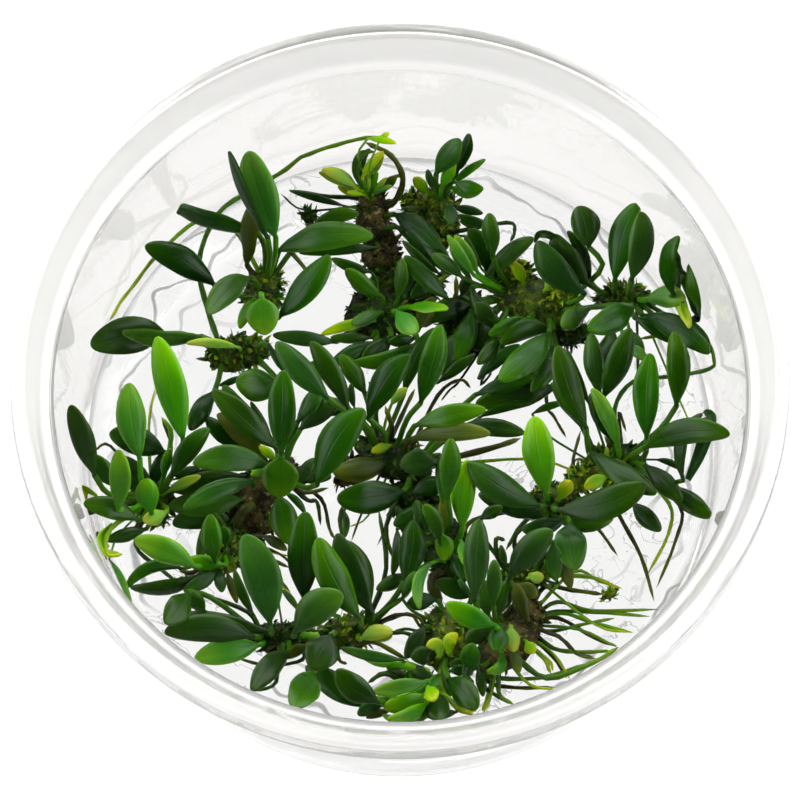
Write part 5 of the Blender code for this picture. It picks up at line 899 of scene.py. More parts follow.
def growthPoint(clump, towards):
    # just under the rhizome's skin, where a leaf or root grows from
    size, turn = clump["rhizome"][1:]
    centre = rhizomeCentre(clump)
    along = Vector((math.cos(math.radians(turn)), math.sin(math.radians(turn)), 0))
    reach = 0.5 * (size[0] - size[1])
    spine = centre + along * max(-reach, min(reach, (towards - centre).dot(along)))
    out = (towards - spine).normalized()
    return spine + Vector((out.x * size[1], out.y * size[1], out.z * size[2])) * growthDepth


def turned(x, y, z, turn):
    cosine, sine = math.cos(math.radians(turn)), math.sin(math.radians(turn))
    return Vector((x * cosine - y * sine, x * sine + y * cosine, z))


def rhizomeShape(clump, segments, rings, rough=None):
    # a lumpy ellipsoid lying on the gel; rough(point) adds the fine one's knobs
    size, turn = clump["rhizome"][1:]
    centre = rhizomeCentre(clump)
    mesh = bmesh.new()
    bmesh.ops.create_uvsphere(mesh, u_segments=segments, v_segments=rings, radius=1.0)
    vertices = []
    for vertex in mesh.verts:
        x, y, z = vertex.co
        lump = 1.0 + 0.10 * math.sin(5 * x + 3 * z) * math.cos(4 * y)
        if rough:
            lump += rough(vertex.co + centre)
        x, y, z = x * size[0] / 2 * lump, y * size[1] / 2 * lump, z * size[2] / 2
        vertices.append(centre + turned(x, y, z, turn))
    faces = [[vertex.index for vertex in face.verts] for face in mesh.faces]
    mesh.free()
    return vertices, faces


def boundsOf(vertices):
    low = [min(vertex[axis] for vertex in vertices) for axis in range(3)]
    high = [max(vertex[axis] for vertex in vertices) for axis in range(3)]
    return low, high


def bladeOf(shape):
    vertices, faces, petiole = shape
    first = petiole * cadCorners
    blade = [[corner - first for corner in face] for face in faces if min(face) >= first]
    return vertices[first:], blade


def setDown(placed, node, shape):
    blade = BVHTree.FromPolygons(*bladeOf(shape)) if len(shape) > 2 else None
    placed.append((node, boundsOf(shape[0]), BVHTree.FromPolygons(*shape[:2]), blade))


def isClear(placed, node, shape):
    # true where a leaf touches no other node, and its blade no blade of its own node
    low, high = boundsOf(shape[0])
    whole = blade = None
    for other, (otherLow, otherHigh), otherTree, otherBlade in placed:
        if any(low[axis] > otherHigh[axis] or high[axis] < otherLow[axis] for axis in range(3)):
            continue
        if other != node:
            whole = whole or BVHTree.FromPolygons(*shape[:2])
            if whole.overlap(otherTree):
                return False
        elif otherBlade:
            blade = blade or BVHTree.FromPolygons(*bladeOf(shape))
            if blade.overlap(otherBlade):
                return False
    return True


def settledLift(placed, node, row, clump):
    # the least lift that clears what is set down; a short petiole is tried before a high leaf
    parts = (1.0,) if row[0] == "shoot" else settle["petioleParts"]
    tries = []
    for step in range(int(settle["most"] / settle["step"])):
        for part in parts:
            lift = step * settle["step"]
            tries.append((lift + settle["shortCost"] * (1 - part), lift, part))
    for entry in sorted(tries):
        lift, part = entry[1:]
        if max(row[5][2], row[6][2]) + lift > leaf["highest"]:
            continue
        if isClear(placed, node, solidLeaf(row, clump, lift, part, extra=gel["gap"])):
            return lift, part
    return 0.0, 1.0


def planting():
    # how far each leaf is lifted, in the same order as the solids were set down
    placed = []
    waiting = []
    lifts = []
    for name, clump in clumps.items():
        node = "rhizome_" + name
        setDown(placed, node, rhizomeShape(clump, 6, 4))
        for stem in clump["stems"]:
            setDown(placed, node, solidStem(*stem[1:], clump))
        number = 0
        for row in clump["leaves"]:
            own = row[0] == "leaf"
            number += own
            leafNode = f"leaf_{name}_{number}" if own else node
            order = row[5][2] + row[6][2] + settle["ownLater"] * own
            waiting.append((order, leafNode, row, name))
    for entry in sorted(waiting, key=lambda entry: entry[0]):
        node, row, name = entry[1:]
        lift, part = settledLift(placed, node, row, clumps[name])
        setDown(placed, node, solidLeaf(row, clumps[name], lift, part))
        lifts.append((node, name, row, lift))
    return lifts


# Materials: leaves, stems and moss each have one shared node group and a row of looks.

bladeMarks = {
    "rib": (0.035, 0.008), "margin": (0.34, 0.5), "veins": 46.0, "veinSlant": -34.0,
    "vein": (0.72, 1.0), "grainScale": 420.0, "patchScale": 150.0, "patch": (0.35, 0.62),
    "patchColour": (0.3, 0.4, 0.25, 1), "tipWander": 0.5, "tipEnd": 1.08, "roughWander": 0.25,
    "hue": (0.482, 0.5), "saturation": (0.92, 1.08), "value": (0.88, 1.26),
    "ribHeight": -0.55, "veinHeight": -0.1, "grainHeight": 0.42, "depth": 0.06,
}
stemMarks = {
    "spotScale": 600.0, "spot": (0.3, 0.7), "rough": (0.28, 0.5), "patchScale": 170.0,
    "patch": (0.4, 0.65), "patchColour": (0.3, 0.34, 0.25, 1), "endWander": 0.6, "depth": 0.1,
}
mossMarks = {
    "patchScale": 520.0, "patch": (0.42, 0.62), "speckScale": 1500.0, "speck": (0.3, 0.7),
    "brightEnd": 0.74, "rough": (0.45, 0.75), "depth": 0.3,
}
plantSurface = {"ior": 1.4, "specular": 0.22, "bump": 0.6}
# each look's tip colour is the leaf's lighter tip with painted sheen mixed in
bladeLooks = {
    "dark": {"Blade Color": "133c03", "Tip And Sheen Color": "255005", "Rib Color": "0c2802",
             "Tip Start": 0.45, "Rib Strength": 0.25, "Mottle": 0.5, "Gloss": 0.27},
    "green": {"Blade Color": "1b4e03", "Tip And Sheen Color": "366a05", "Rib Color": "123a02",
              "Tip Start": 0.45, "Rib Strength": 0.25, "Mottle": 0.45, "Gloss": 0.26},
    "fresh": {"Blade Color": "2a7803", "Tip And Sheen Color": "62a006", "Rib Color": "1c5c02",
              "Tip Start": 0.4, "Rib Strength": 0.25, "Mottle": 0.35, "Gloss": 0.26},
    "lime": {"Blade Color": "67a307", "Tip And Sheen Color": "a4b20c", "Rib Color": "588c06",
             "Tip Start": 0.35, "Rib Strength": 0.3, "Mottle": 0.3, "Gloss": 0.3},
    "olive": {"Blade Color": "364806", "Tip And Sheen Color": "5c6a0a", "Rib Color": "283604",
              "Tip Start": 0.5, "Rib Strength": 0.3, "Mottle": 0.55, "Gloss": 0.36},
    "earth": {"Blade Color": "2a2410", "Tip And Sheen Color": "4a3f1c", "Rib Color": "3a3216",
              "Tip Start": 0.4, "Rib Strength": 0.1, "Mottle": 0.5, "Gloss": 0.55},
}
mossLooks = {
    "brown": {"Dark Color": "241f0e", "Middle Color": "554b22", "Bright Color": "9a9160",
              "Bright Start": 0.54},
    "green": {"Dark Color": "1c2d0a", "Middle Color": "465a10", "Bright Color": "8c9a1c",
              "Bright Start": 0.52},
    "dark": {"Dark Color": "0f2006", "Middle Color": "27420c", "Bright Color": "5c7a16",
             "Bright Start": 0.56},
    "lime": {"Dark Color": "39490c", "Middle Color": "7a8a10", "Bright Color": "b4bc22",
             "Bright Start": 0.5},
}
stemLooks = {
    "dark": {"Base Color": "1d3606", "End Color": "3c5c0c", "End Start": 0.3, "Mottle": 0.45},
    "green": {"Base Color": "38660a", "End Color": "6c9412", "End Start": 0.3, "Mottle": 0.35},
    "fresh": {"Base Color": "449008", "End Color": "7ab412", "End Start": 0.3, "Mottle": 0.25},
    "lime": {"Base Color": "64920c", "End Color": "b0be16", "End Start": 0.3, "Mottle": 0.3},
    "olive": {"Base Color": "35380c", "End Color": "5c6812", "End Start": 0.4, "Mottle": 0.6},
}


def hexColour(text):
    # the linear colour, with full alpha, of six hexadecimal digits
    shares = [int(text[i:i + 2], 16) / 255 for i in (0, 2, 4)]
    linear = [s / 12.92 if s <= 0.04045 else ((s + 0.055) / 1.055) ** 2.4 for s in shares]
    return tuple(linear) + (1.0,)


def newGroup(name, inputs, outputs):
    # a node group with these inputs and outputs, colours where the value or the name says so
    tree = bpy.data.node_groups.new(name, "ShaderNodeTree")
    for label, value in inputs.items():
        kind = "NodeSocketColor" if isinstance(value, tuple) else "NodeSocketFloat"
        socket = tree.interface.new_socket(name=label, in_out="INPUT", socket_type=kind)
        socket.default_value = value
    for label in outputs:
        kind = "NodeSocketColor" if label == "Color" else "NodeSocketFloat"
        tree.interface.new_socket(name=label, in_out="OUTPUT", socket_type=kind)
    return tree, tree.nodes.new("NodeGroupInput").outputs


def closeGroup(tree, **results):
    out = tree.nodes.new("NodeGroupOutput")
    for label, result in results.items():
        tree.links.new(result, out.inputs[label])
    return tree


def addNode(tree, kind, inputs=None, **settings):
    node = tree.nodes.new(kind)
    for key, value in settings.items():
        setattr(node, key, value)
    for key, value in (inputs or {}).items():
        if isinstance(value, bpy.types.NodeSocket):
            tree.links.new(value, node.inputs[key])
        else:
            node.inputs[key].default_value = value
    return node


def mathNode(tree, operation, first, second=0.0):
    return addNode(tree, "ShaderNodeMath", {0: first, 1: second}, operation=operation).outputs[0]


def times(tree, first, second):
    return mathNode(tree, "MULTIPLY", first, second)


def plus(tree, first, second):
    return mathNode(tree, "ADD", first, second)


def rangeNode(tree, value, low, high, to=(0.0, 1.0)):
    node = addNode(tree, "ShaderNodeMapRange", {"Value": value, "From Min": low, "From Max": high,
                                                "To Min": to[0], "To Max": to[1]},
                   interpolation_type="SMOOTHSTEP")
    return node.outputs["Result"]


def mixColour(tree, share, first, second, blend="MIX"):
    node = addNode(tree, "ShaderNodeMix", {0: share, 6: first, 7: second}, data_type="RGBA",
                   blend_type=blend, clamp_result=True)
    return node.outputs[2]


def noiseNode(tree, place, scale, detail, **more):
    inputs = {"Vector": place, "Scale": scale, "Detail": detail, **more}
    return addNode(tree, "ShaderNodeTexNoise", inputs).outputs["Fac"]


def bumpNode(tree, height, strength, depth):
    return addNode(tree, "ShaderNodeBump", {"Height": height, "Strength": strength,
                                            "Distance": depth * mm}).outputs[0]


def objectPlace(tree):
    return addNode(tree, "ShaderNodeTexCoord").outputs["Object"]


def mapPlace(tree, name):
    place = addNode(tree, "ShaderNodeUVMap", uv_map=name)
    return addNode(tree, "ShaderNodeSeparateXYZ", {0: place.outputs[0]}).outputs


def makeBladePattern():
    # midrib, side veins and mottling of a blade, with lighter tips and margins partly painted
    # sheen, read from its own map (u across, v along)
    tree, inside = newGroup("bladePattern", {
        "Blade Color": (0.02, 0.08, 0.01, 1), "Tip And Sheen Color": (0.05, 0.2, 0.02, 1),
        "Rib Color": (0.06, 0.2, 0.03, 1), "Tip Start": 0.6, "Rib Strength": 0.5,
        "Margin Strength": 0.7, "Mottle": 0.4, "Gloss": 0.3,
    }, ("Color", "Roughness", "Height"))
    marks = bladeMarks
    u, v = mapPlace(tree, "bladeMap")[:2]
    own = addNode(tree, "ShaderNodeAttribute", attribute_name="ownShade")
    chance = addNode(tree, "ShaderNodeSeparateColor", {0: own.outputs["Color"]}).outputs
    side = mathNode(tree, "ABSOLUTE", mathNode(tree, "SUBTRACT", u, 0.5))
    rib = rangeNode(tree, side, *marks["rib"])
    veinPlace = plus(tree, times(tree, v, marks["veins"]), times(tree, side, marks["veinSlant"]))
    vein = rangeNode(tree, mathNode(tree, "SINE", veinPlace), *marks["vein"])
    place = objectPlace(tree)
    grain = noiseNode(tree, place, marks["grainScale"], 3.0)
    patches = noiseNode(tree, place, marks["patchScale"], 2.0)
    wander = mathNode(tree, "SUBTRACT", patches, 0.5)
    # blade colour towards the tip colour: lighter tips, partly real tone and partly painted sheen
    toTip = rangeNode(tree, plus(tree, v, times(tree, wander, marks["tipWander"])),
                      inside["Tip Start"], marks["tipEnd"])
    colour = mixColour(tree, toTip, inside["Blade Color"], inside["Tip And Sheen Color"])
    # margins lighten towards the tip colour: the leaf's own yellow-green edge, plus the painted
    # sheen that colour carries
    margin = times(tree, rangeNode(tree, side, *marks["margin"]), inside["Margin Strength"])
    colour = mixColour(tree, margin, colour, inside["Tip And Sheen Color"])
    dark = times(tree, rangeNode(tree, patches, *marks["patch"]), inside["Mottle"])
    colour = mixColour(tree, dark, colour, marks["patchColour"], "MULTIPLY")
    colour = mixColour(tree, times(tree, rib, inside["Rib Strength"]), colour, inside["Rib Color"])
    shade = addNode(tree, "ShaderNodeHueSaturation", {
        "Color": colour,
        "Hue": rangeNode(tree, chance[0], 0.0, 1.0, marks["hue"]),
        "Saturation": rangeNode(tree, chance[1], 0.0, 1.0, marks["saturation"]),
        "Value": rangeNode(tree, chance[2], 0.0, 1.0, marks["value"]),
    })
    rough = plus(tree, inside["Gloss"], times(tree, wander, marks["roughWander"]))
    height = plus(tree, times(tree, rib, marks["ribHeight"]),
                  times(tree, vein, marks["veinHeight"]))
    height = plus(tree, height, times(tree, grain, marks["grainHeight"]))
    return closeGroup(tree, Color=shade.outputs[0], Roughness=rough, Height=height)


def makeStemPattern():
    # patches along a stem or root, and its change of colour towards the tip
    tree, inside = newGroup("stemPattern", {
        "Base Color": (0.03, 0.08, 0.01, 1), "End Color": (0.2, 0.4, 0.03, 1), "End Start": 0.3,
        "Mottle": 0.5,
    }, ("Color", "Roughness", "Height"))
    marks = stemMarks
    along = mapPlace(tree, "bladeMap")[1]
    place = objectPlace(tree)
    spots = noiseNode(tree, place, marks["spotScale"], 3.0)
    patches = noiseNode(tree, place, marks["patchScale"], 2.0)
    wander = times(tree, mathNode(tree, "SUBTRACT", patches, 0.5), marks["endWander"])
    toEnd = rangeNode(tree, plus(tree, along, wander), inside["End Start"], 1.0)
    colour = mixColour(tree, toEnd, inside["Base Color"], inside["End Color"])
    dark = times(tree, rangeNode(tree, patches, *marks["patch"]), inside["Mottle"])
    colour = mixColour(tree, dark, colour, marks["patchColour"], "MULTIPLY")
    rough = rangeNode(tree, spots, *marks["spot"], marks["rough"])
    return closeGroup(tree, Color=colour, Roughness=rough, Height=spots)


def makeMossPattern():
    # patches of two tones with bright specks, as on old roots and moss
    tree, inside = newGroup("mossPattern", {
        "Dark Color": (0.01, 0.01, 0.005, 1), "Middle Color": (0.06, 0.07, 0.01, 1),
        "Bright Color": (0.25, 0.3, 0.02, 1), "Bright Start": 0.6,
    }, ("Color", "Roughness", "Height"))
    marks = mossMarks
    place = objectPlace(tree)
    share = rangeNode(tree, noiseNode(tree, place, marks["patchScale"], 4.0), *marks["patch"])
    specks = noiseNode(tree, place, marks["speckScale"], 3.0)
    colour = mixColour(tree, share, inside["Dark Color"], inside["Middle Color"])
    bright = rangeNode(tree, specks, inside["Bright Start"], marks["brightEnd"])
    colour = mixColour(tree, bright, colour, inside["Bright Color"])
    rough = rangeNode(tree, specks, *marks["speck"], marks["rough"])
    return closeGroup(tree, Color=colour, Roughness=rough, Height=specks)


def shaderOf(material):
    material.use_nodes = True
    return material.node_tree, material.node_tree.nodes["Principled BSDF"]


def wearPattern(tree, shader, pattern, look, bump, depth):
    # links a pattern's outputs to a shader and gives the pattern the look's values
    group = addNode(tree, "ShaderNodeGroup", node_tree=pattern)
    for key, value in look.items():
        group.inputs[key].default_value = hexColour(value) if isinstance(value, str) else value
    tree.links.new(group.outputs["Color"], shader.inputs["Base Color"])
    if "Roughness" in group.outputs:
        tree.links.new(group.outputs["Roughness"], shader.inputs["Roughness"])
    tree.links.new(bumpNode(tree, group.outputs["Height"], bump, depth), shader.inputs["Normal"])


def plantMaterials(kind, pattern, looks, marks):
    # one material for each look, under the look's name
    materials = {}
    for name, look in looks.items():
        material = bpy.data.materials.new(kind + name.capitalize())
        tree, shader = shaderOf(material)
        wearPattern(tree, shader, pattern, look, plantSurface["bump"], marks["depth"])
        shader.inputs["IOR"].default_value = plantSurface["ior"]
        shader.inputs["Specular IOR Level"].default_value = plantSurface["specular"]
        materials[name] = material
    return materials


mossMaterials = plantMaterials("moss", makeMossPattern(), mossLooks, mossMarks)
bladeMaterials = plantMaterials("leaf", makeBladePattern(), bladeLooks, bladeMarks)
stemMaterials = plantMaterials("stem", makeStemPattern(), stemLooks, stemMarks)
print("plant materials done")


# The cup and the gel in it.

plastic = {
    "wallColour": (0.81, 0.8, 0.785, 1), "rimColour": (0.885, 0.877, 0.867, 1),
    "baseColour": (0.985, 0.985, 0.98, 1), "ior": 1.49, "roughness": 0.03, "rimRoughness": 0.07,
    "rimClear": 0.68, "flowStretch": (90.0, 1.4, 1.0), "flow": (0.3, 0.7),
    "flowRoughness": (0.02, 0.07), "flowBump": 0.35, "flowDepth": 0.25,
    "sharpAngle": 40,
}
cupFaces = {"wall": 0, "rim": 1, "base": 2}
# the gel's line colour is painted grey shade along its grooves, cracks and edge ring
gelLook = {
    "Clear Color": (1, 1, 0.995, 1), "Painted Line Shade Color": (0.2, 0.215, 0.2, 1), "Groove Spacing": 4.5,
    "Groove Start": 24.0, "Crack Amount": 0.8,
}
gelMarks = {
    "colour": (0.99, 0.99, 0.98, 1), "ior": 1.335, "roughness": 0.03, "bump": 0.3, "depth": 0.5,
    "bendScale": 75.0, "bend": 16.0, "patchScale": 55.0, "crackScale": 230.0, "crackTwist": 0.8,
    "rippleScale": 260.0, "groove": (0.8, 1.0), "grooveEnd": 36.0, "groovePatch": (0.66, 0.46),
    "crack": (0.02, 0.004), "crackPatch": (0.52, 0.62), "edge": (41.9, 42.9), "edgeBend": 1.6,
    "edgeStrength": 0.8, "topStart": (0.012, 0.014), "rippleHeight": 0.5, "lineHeight": 0.8,
}
gelShape = {
    "sides": 128, "rows": 48, "wallGap": 0.2, "shoulderIn": 0.1, "shoulderDrop": 2.5,
    "lowIn": 0.85, "sink": 0.12, "levelRing": 40.0, "sharpAngle": 50,
    "ripples": ((0.35, 0.16, 3.0), (0.2, 0.5, 8.0)),
}


def clearMaterial(name, colour, ior, roughness):
    material = bpy.data.materials.new(name)
    tree, shader = shaderOf(material)
    shader.inputs["Transmission Weight"].default_value = 1.0
    shader.inputs["IOR"].default_value = ior
    shader.inputs["Roughness"].default_value = roughness
    shader.inputs["Base Color"].default_value = colour
    return material, tree, shader


def makeWallMaterial():
    # clear moulded plastic with faint upright flow lines in it
    material, tree, shader = clearMaterial("clearPlastic", plastic["wallColour"], plastic["ior"],
                                           plastic["roughness"])
    place = addNode(tree, "ShaderNodeUVMap", uv_map="wallMap").outputs[0]
    stretch = addNode(tree, "ShaderNodeMapping", {"Vector": place,
                                                  "Scale": plastic["flowStretch"]})
    lines = noiseNode(tree, stretch.outputs[0], 1.0, 3.0, Roughness=0.55)
    bump = bumpNode(tree, lines, plastic["flowBump"], plastic["flowDepth"])
    tree.links.new(bump, shader.inputs["Normal"])
    rough = rangeNode(tree, lines, *plastic["flow"], plastic["flowRoughness"])
    tree.links.new(rough, shader.inputs["Roughness"])
    return material


def makeRimMaterial():
    # the thicker stepped rim, a little milky
    material = clearMaterial("milkyRim", plastic["rimColour"], plastic["ior"],
                             plastic["rimRoughness"])[0]
    shader = shaderOf(material)[1]
    shader.inputs["Transmission Weight"].default_value = plastic["rimClear"]
    return material


def makeBaseMaterial():
    # the flat bottom, clearer than the drawn wall
    return clearMaterial("clearBase", plastic["baseColour"], plastic["ior"],
                         plastic["roughness"])[0]


def addObject(name, mesh):
    made = bpy.data.objects.new(name, mesh)
    bpy.context.scene.collection.objects.link(made)
    return made


def ringPoints(radius, sides, heightAt):
    # a ring round Z whose height may change along it
    points = []
    for side in range(sides):
        angle = 2 * math.pi * side / sides
        x, y = radius * math.cos(angle), radius * math.sin(angle)
        points.append(Vector((x, y, heightAt(x, y))))
    return points


def rounded(corner, before, after, radius, steps=4):
    # a corner of the section eased with a short curve
    corner = Vector(corner)
    toBefore, toAfter = Vector(before) - corner, Vector(after) - corner
    cut = min(radius, 0.45 * toBefore.length, 0.45 * toAfter.length)
    a = corner + toBefore.normalized() * cut
    b = corner + toAfter.normalized() * cut
    return [
        tuple(a * (1 - t) ** 2 + corner * 2 * t * (1 - t) + b * t**2)
        for t in (i / steps for i in range(steps + 1))
    ]


def cupSection():
    # the wall from under the base's middle, up outside, over the rim and down to the floor's
    # middle: each corner's radius, height and rounding
    rim, top, wall = cup["rimRadius"], cup["height"], cup["wall"]
    foot, step, lip = cup["foot"], cup["step"], cup["lip"]
    ledge, rise = cup["ledgeHeight"], cup["ledgeRise"]
    riser = cup["ledgeRadius"] + wall
    corners = [
        (0.0, 0.0, 0), (cup["baseRadius"] - foot, 0.0, 0.9), (cup["baseRadius"], foot, 0.9),
        (cup["wallTopRadius"] + wall, ledge - 1.0, 0.8), (riser + wall, ledge - rise, 0.6),
        (rim - step, top - step, 0.5), (rim - wall, top - step, 0.3),
        (rim - wall, top - cup["skirtDrop"], 0.2), (rim, top - cup["skirtDrop"], 0.2),
        (rim, top - lip, 0.5), (rim - lip, top, 0.4), (rim - 2 * wall, top, 0.6),
        (riser, ledge + rise, 0.5), (cup["ledgeRadius"], ledge, 0.4),
        (cup["wallTopRadius"], cup["wallTopHeight"], 0.5),
        (cup["wallLowRadius"], cup["wallLowHeight"], 1.0),
        (cup["wallLowRadius"] - wall, cup["floor"], 0.8), (0.0, cup["floor"], 0),
    ]
    section = [corners[0][:2]]
    for before, here, after in zip(corners, corners[1:], corners[2:]):
        section += rounded(here[:2], before[:2], after[:2], here[2])
    return section + [corners[-1][:2]]


def cupFace(before, after, touchesMiddle):
    # which material a strip between two points of the section has
    radius, height = (before[0] + after[0]) / 2, (before[1] + after[1]) / 2
    inSkirt = radius > cup["rimRadius"] - cup["skirtBand"]
    if touchesMiddle or height < cup["floor"] + cup["floorBand"]:
        return cupFaces["base"]
    if height > cup["rimStart"] and not (inSkirt and height < cup["height"] - cup["skirtTop"]):
        return cupFaces["rim"]
    return cupFaces["wall"]


def makeCup():
    section = cupSection()
    sides = cup["sides"]
    vertices = [Vector((0, 0, section[0][1]))]
    for radius, height in section[1:-1]:
        vertices += ringPoints(radius, sides, lambda x, y: height)
    vertices.append(Vector((0, 0, section[-1][1])))
    rings = len(section) - 2
    lengths = [0.0]
    for a, b in zip(section, section[1:]):
        lengths.append(lengths[-1] + math.dist(a, b))
    alongs = [length / cup["mapLength"] for length in lengths]
    faces = []
    places = []
    for side in range(sides):
        after = (side + 1) % sides
        u, w = side / sides, (side + 1) / sides
        faces.append([0, 1 + after, 1 + side])
        places += [(u, 0), (w, alongs[1]), (u, alongs[1])]
        for ring in range(rings - 1):
            low = 1 + ring * sides
            a, b = alongs[ring + 1], alongs[ring + 2]
            faces.append([low + side, low + after, low + sides + after, low + sides + side])
            places += [(u, a), (w, a), (w, b), (u, b)]
        last = 1 + (rings - 1) * sides
        faces.append([last + side, last + after, len(vertices) - 1])
        places += [(u, alongs[-2]), (w, alongs[-2]), (u, alongs[-1])]
    mesh = bpy.data.meshes.new("cupWall")
    mesh.from_pydata([point * mm for point in vertices], [], faces)
    layer = mesh.uv_layers.new(name="wallMap")
    layer.data.foreach_set("uv", [n for place in places for n in place])
    for material in (makeWallMaterial(), makeRimMaterial(), makeBaseMaterial()):
        mesh.materials.append(material)
    for face, polygon in zip(faces, mesh.polygons):
        ring = min(max(0, (min(face) - 1) // sides), rings - 2)
        polygon.material_index = cupFace(section[ring + 1], section[ring + 2], min(face) == 0)
    mesh.shade_smooth()
    mesh.set_sharp_from_angle(angle=math.radians(plastic["sharpAngle"]))
    made = addObject("cupWall", mesh)
    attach(made, "root")
    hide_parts("cup")


def gelHeight(x, y):
    # the solid's top with finer ripples, kept under the roots
    ripple = sum(
        size * noise(Vector((x * scale, y * scale, level)))
        for size, scale, level in gelShape["ripples"]
    )
    edge = max(0.0, 1.0 - math.hypot(x, y) / gelShape["levelRing"])
    return gelTop(x, y) - gelShape["sink"] + ripple * min(1.0, 4.0 * edge)


def makeGelPattern():
    # long grooves that follow the wall, short cracks in patches and a ring by the wall, each bumped
    # and darkened with painted shade, and fine ripples
    tree, inside = newGroup("gelPattern", {
        "Clear Color": (1, 1, 1, 1), "Painted Line Shade Color": (0.5, 0.5, 0.5, 1), "Groove Spacing": 4.5,
        "Groove Start": 25.0, "Crack Amount": 0.5,
    }, ("Color", "Height"))
    marks = gelMarks
    place = objectPlace(tree)
    flat = addNode(tree, "ShaderNodeVectorMath", {0: place, 1: (1 / mm, 1 / mm, 0)},
                   operation="MULTIPLY").outputs[0]
    radius = addNode(tree, "ShaderNodeVectorMath", {0: flat}, operation="LENGTH").outputs["Value"]
    bends = noiseNode(tree, place, marks["bendScale"], 2.0)
    patches = noiseNode(tree, place, marks["patchScale"], 1.0)
    wander = noiseNode(tree, place, marks["crackScale"], 3.0, Distortion=marks["crackTwist"])
    bent = plus(tree, radius, times(tree, bends, marks["bend"]))
    turns = times(tree, mathNode(tree, "DIVIDE", bent, inside["Groove Spacing"]), 2 * math.pi)
    groove = rangeNode(tree, mathNode(tree, "SINE", turns), *marks["groove"])
    outer = rangeNode(tree, radius, inside["Groove Start"], marks["grooveEnd"])
    groove = times(tree, times(tree, groove, outer),
                   rangeNode(tree, patches, *marks["groovePatch"]))
    off = mathNode(tree, "ABSOLUTE", mathNode(tree, "SUBTRACT", wander, 0.5))
    crack = times(tree, rangeNode(tree, off, *marks["crack"]),
                  rangeNode(tree, patches, *marks["crackPatch"]))
    crack = times(tree, crack, inside["Crack Amount"])
    # a ring of painted shade where the gel meets the wall
    edge = rangeNode(tree, plus(tree, radius, times(tree, bends, marks["edgeBend"])),
                     *marks["edge"], (0.0, marks["edgeStrength"]))
    lines = mathNode(tree, "MAXIMUM", mathNode(tree, "MAXIMUM", groove, crack), edge)
    rise = addNode(tree, "ShaderNodeSeparateXYZ", {0: place}).outputs[2]
    lines = times(tree, lines, rangeNode(tree, rise, *marks["topStart"]))
    # painted shade darkens the clear gel along the grooves, cracks and edge ring
    colour = mixColour(tree, lines, inside["Clear Color"], inside["Painted Line Shade Color"])
    ripples = noiseNode(tree, place, marks["rippleScale"], 3.0)
    height = plus(tree, times(tree, ripples, marks["rippleHeight"]),
                  times(tree, lines, marks["lineHeight"]))
    return closeGroup(tree, Color=colour, Height=height)


def makeGelMaterial():
    material, tree, shader = clearMaterial("clearGel", gelMarks["colour"], gelMarks["ior"],
                                           gelMarks["roughness"])
    wearPattern(tree, shader, makeGelPattern(), gelLook, gelMarks["bump"], gelMarks["depth"])
    return material


def makeGel():
    sides, rows = gelShape["sides"], gelShape["rows"]
    low = cup["floor"] + gel["gap"]
    edge = innerRadius(gel["height"]) - gelShape["wallGap"]
    vertices = [Vector((0, 0, gelHeight(0, 0)))]
    for row in range(1, rows + 1):
        vertices += ringPoints(edge * row / rows, sides, gelHeight)
    shoulder = gel["height"] - gelShape["shoulderDrop"]
    vertices += ringPoints(edge - gelShape["shoulderIn"], sides, lambda x, y: shoulder)
    vertices += ringPoints(cup["wallLowRadius"] - gelShape["lowIn"], sides, lambda x, y: low)
    vertices.append(Vector((0, 0, low)))
    faces = []
    for side in range(sides):
        after = (side + 1) % sides
        faces.append([0, 1 + side, 1 + after])
        for row in range(rows + 1):
            a = 1 + row * sides
            faces.append([a + side, a + sides + side, a + sides + after, a + after])
        last = 1 + (rows + 1) * sides
        faces.append([last + side, len(vertices) - 1, last + after])
    mesh = bpy.data.meshes.new("gelBed")
    mesh.from_pydata([point * mm for point in vertices], [], faces)
    mesh.materials.append(makeGelMaterial())
    mesh.shade_smooth()
    mesh.set_sharp_from_angle(angle=math.radians(gelShape["sharpAngle"]))
    made = addObject("gelBed", mesh)
    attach(made, "root")
    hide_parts("gel")


makeCup()
makeGel()
print("cup and gel done")


# The dressed plants: one piece for each leaf and one for each clump with its moss and shoots.

fine = {
    "seed": 11, "bladeRows": 18, "budRows": 12, "ringCorners": 16, "petioleRows": 7,
    "stemStep": 4, "stemCorners": 8, "margin": 0.12, "widen": 1.06, "thickness": 0.5,
    "thinning": 0.3, "thickest": 0.8, "footShare": 0.16, "opening": 5.0, "rollEase": 6,
    "valley": 0.26, "valleyRange": (0.2, 1.5), "droop": 0.34, "droopRange": (0.6, 1.5),
    "droopCurve": 2.6, "skew": 0.22, "skewRange": (-0.5, 0.5), "waviness": 0.1,
    "waveRange": (1.0, 2.2), "waveLag": 0.9, "stemLump": 0.12, "lumpStep": 2.1, "lumpPhase": 40,
    "sharpAngle": 75,
}
curl = {
    "rows": 16, "corners": 12, "roll": 25, "narrowest": 0.16, "thickness": 0.2, "valley": 0.5,
    "rise": 0.15,
}
moss = {
    "segments": 30, "rings": 20, "knobs": ((0.22, 0.9), (0.12, 2.6), (0.06, 6.0)),
    "clumpFlakes": 170, "cushionFlakes": 6.0, "lowest": -0.35, "rootDepth": 0.92, "spread": 0.8,
    "upward": 0.35, "threadWidth": 0.09, "margin": 0.05, "shade": (0.5, 0.5, 0.3, 1),
    "flakeShape": ((0.0, 0.45), (0.35, 1.0), (0.75, 0.7)), "sag": -0.25,
}
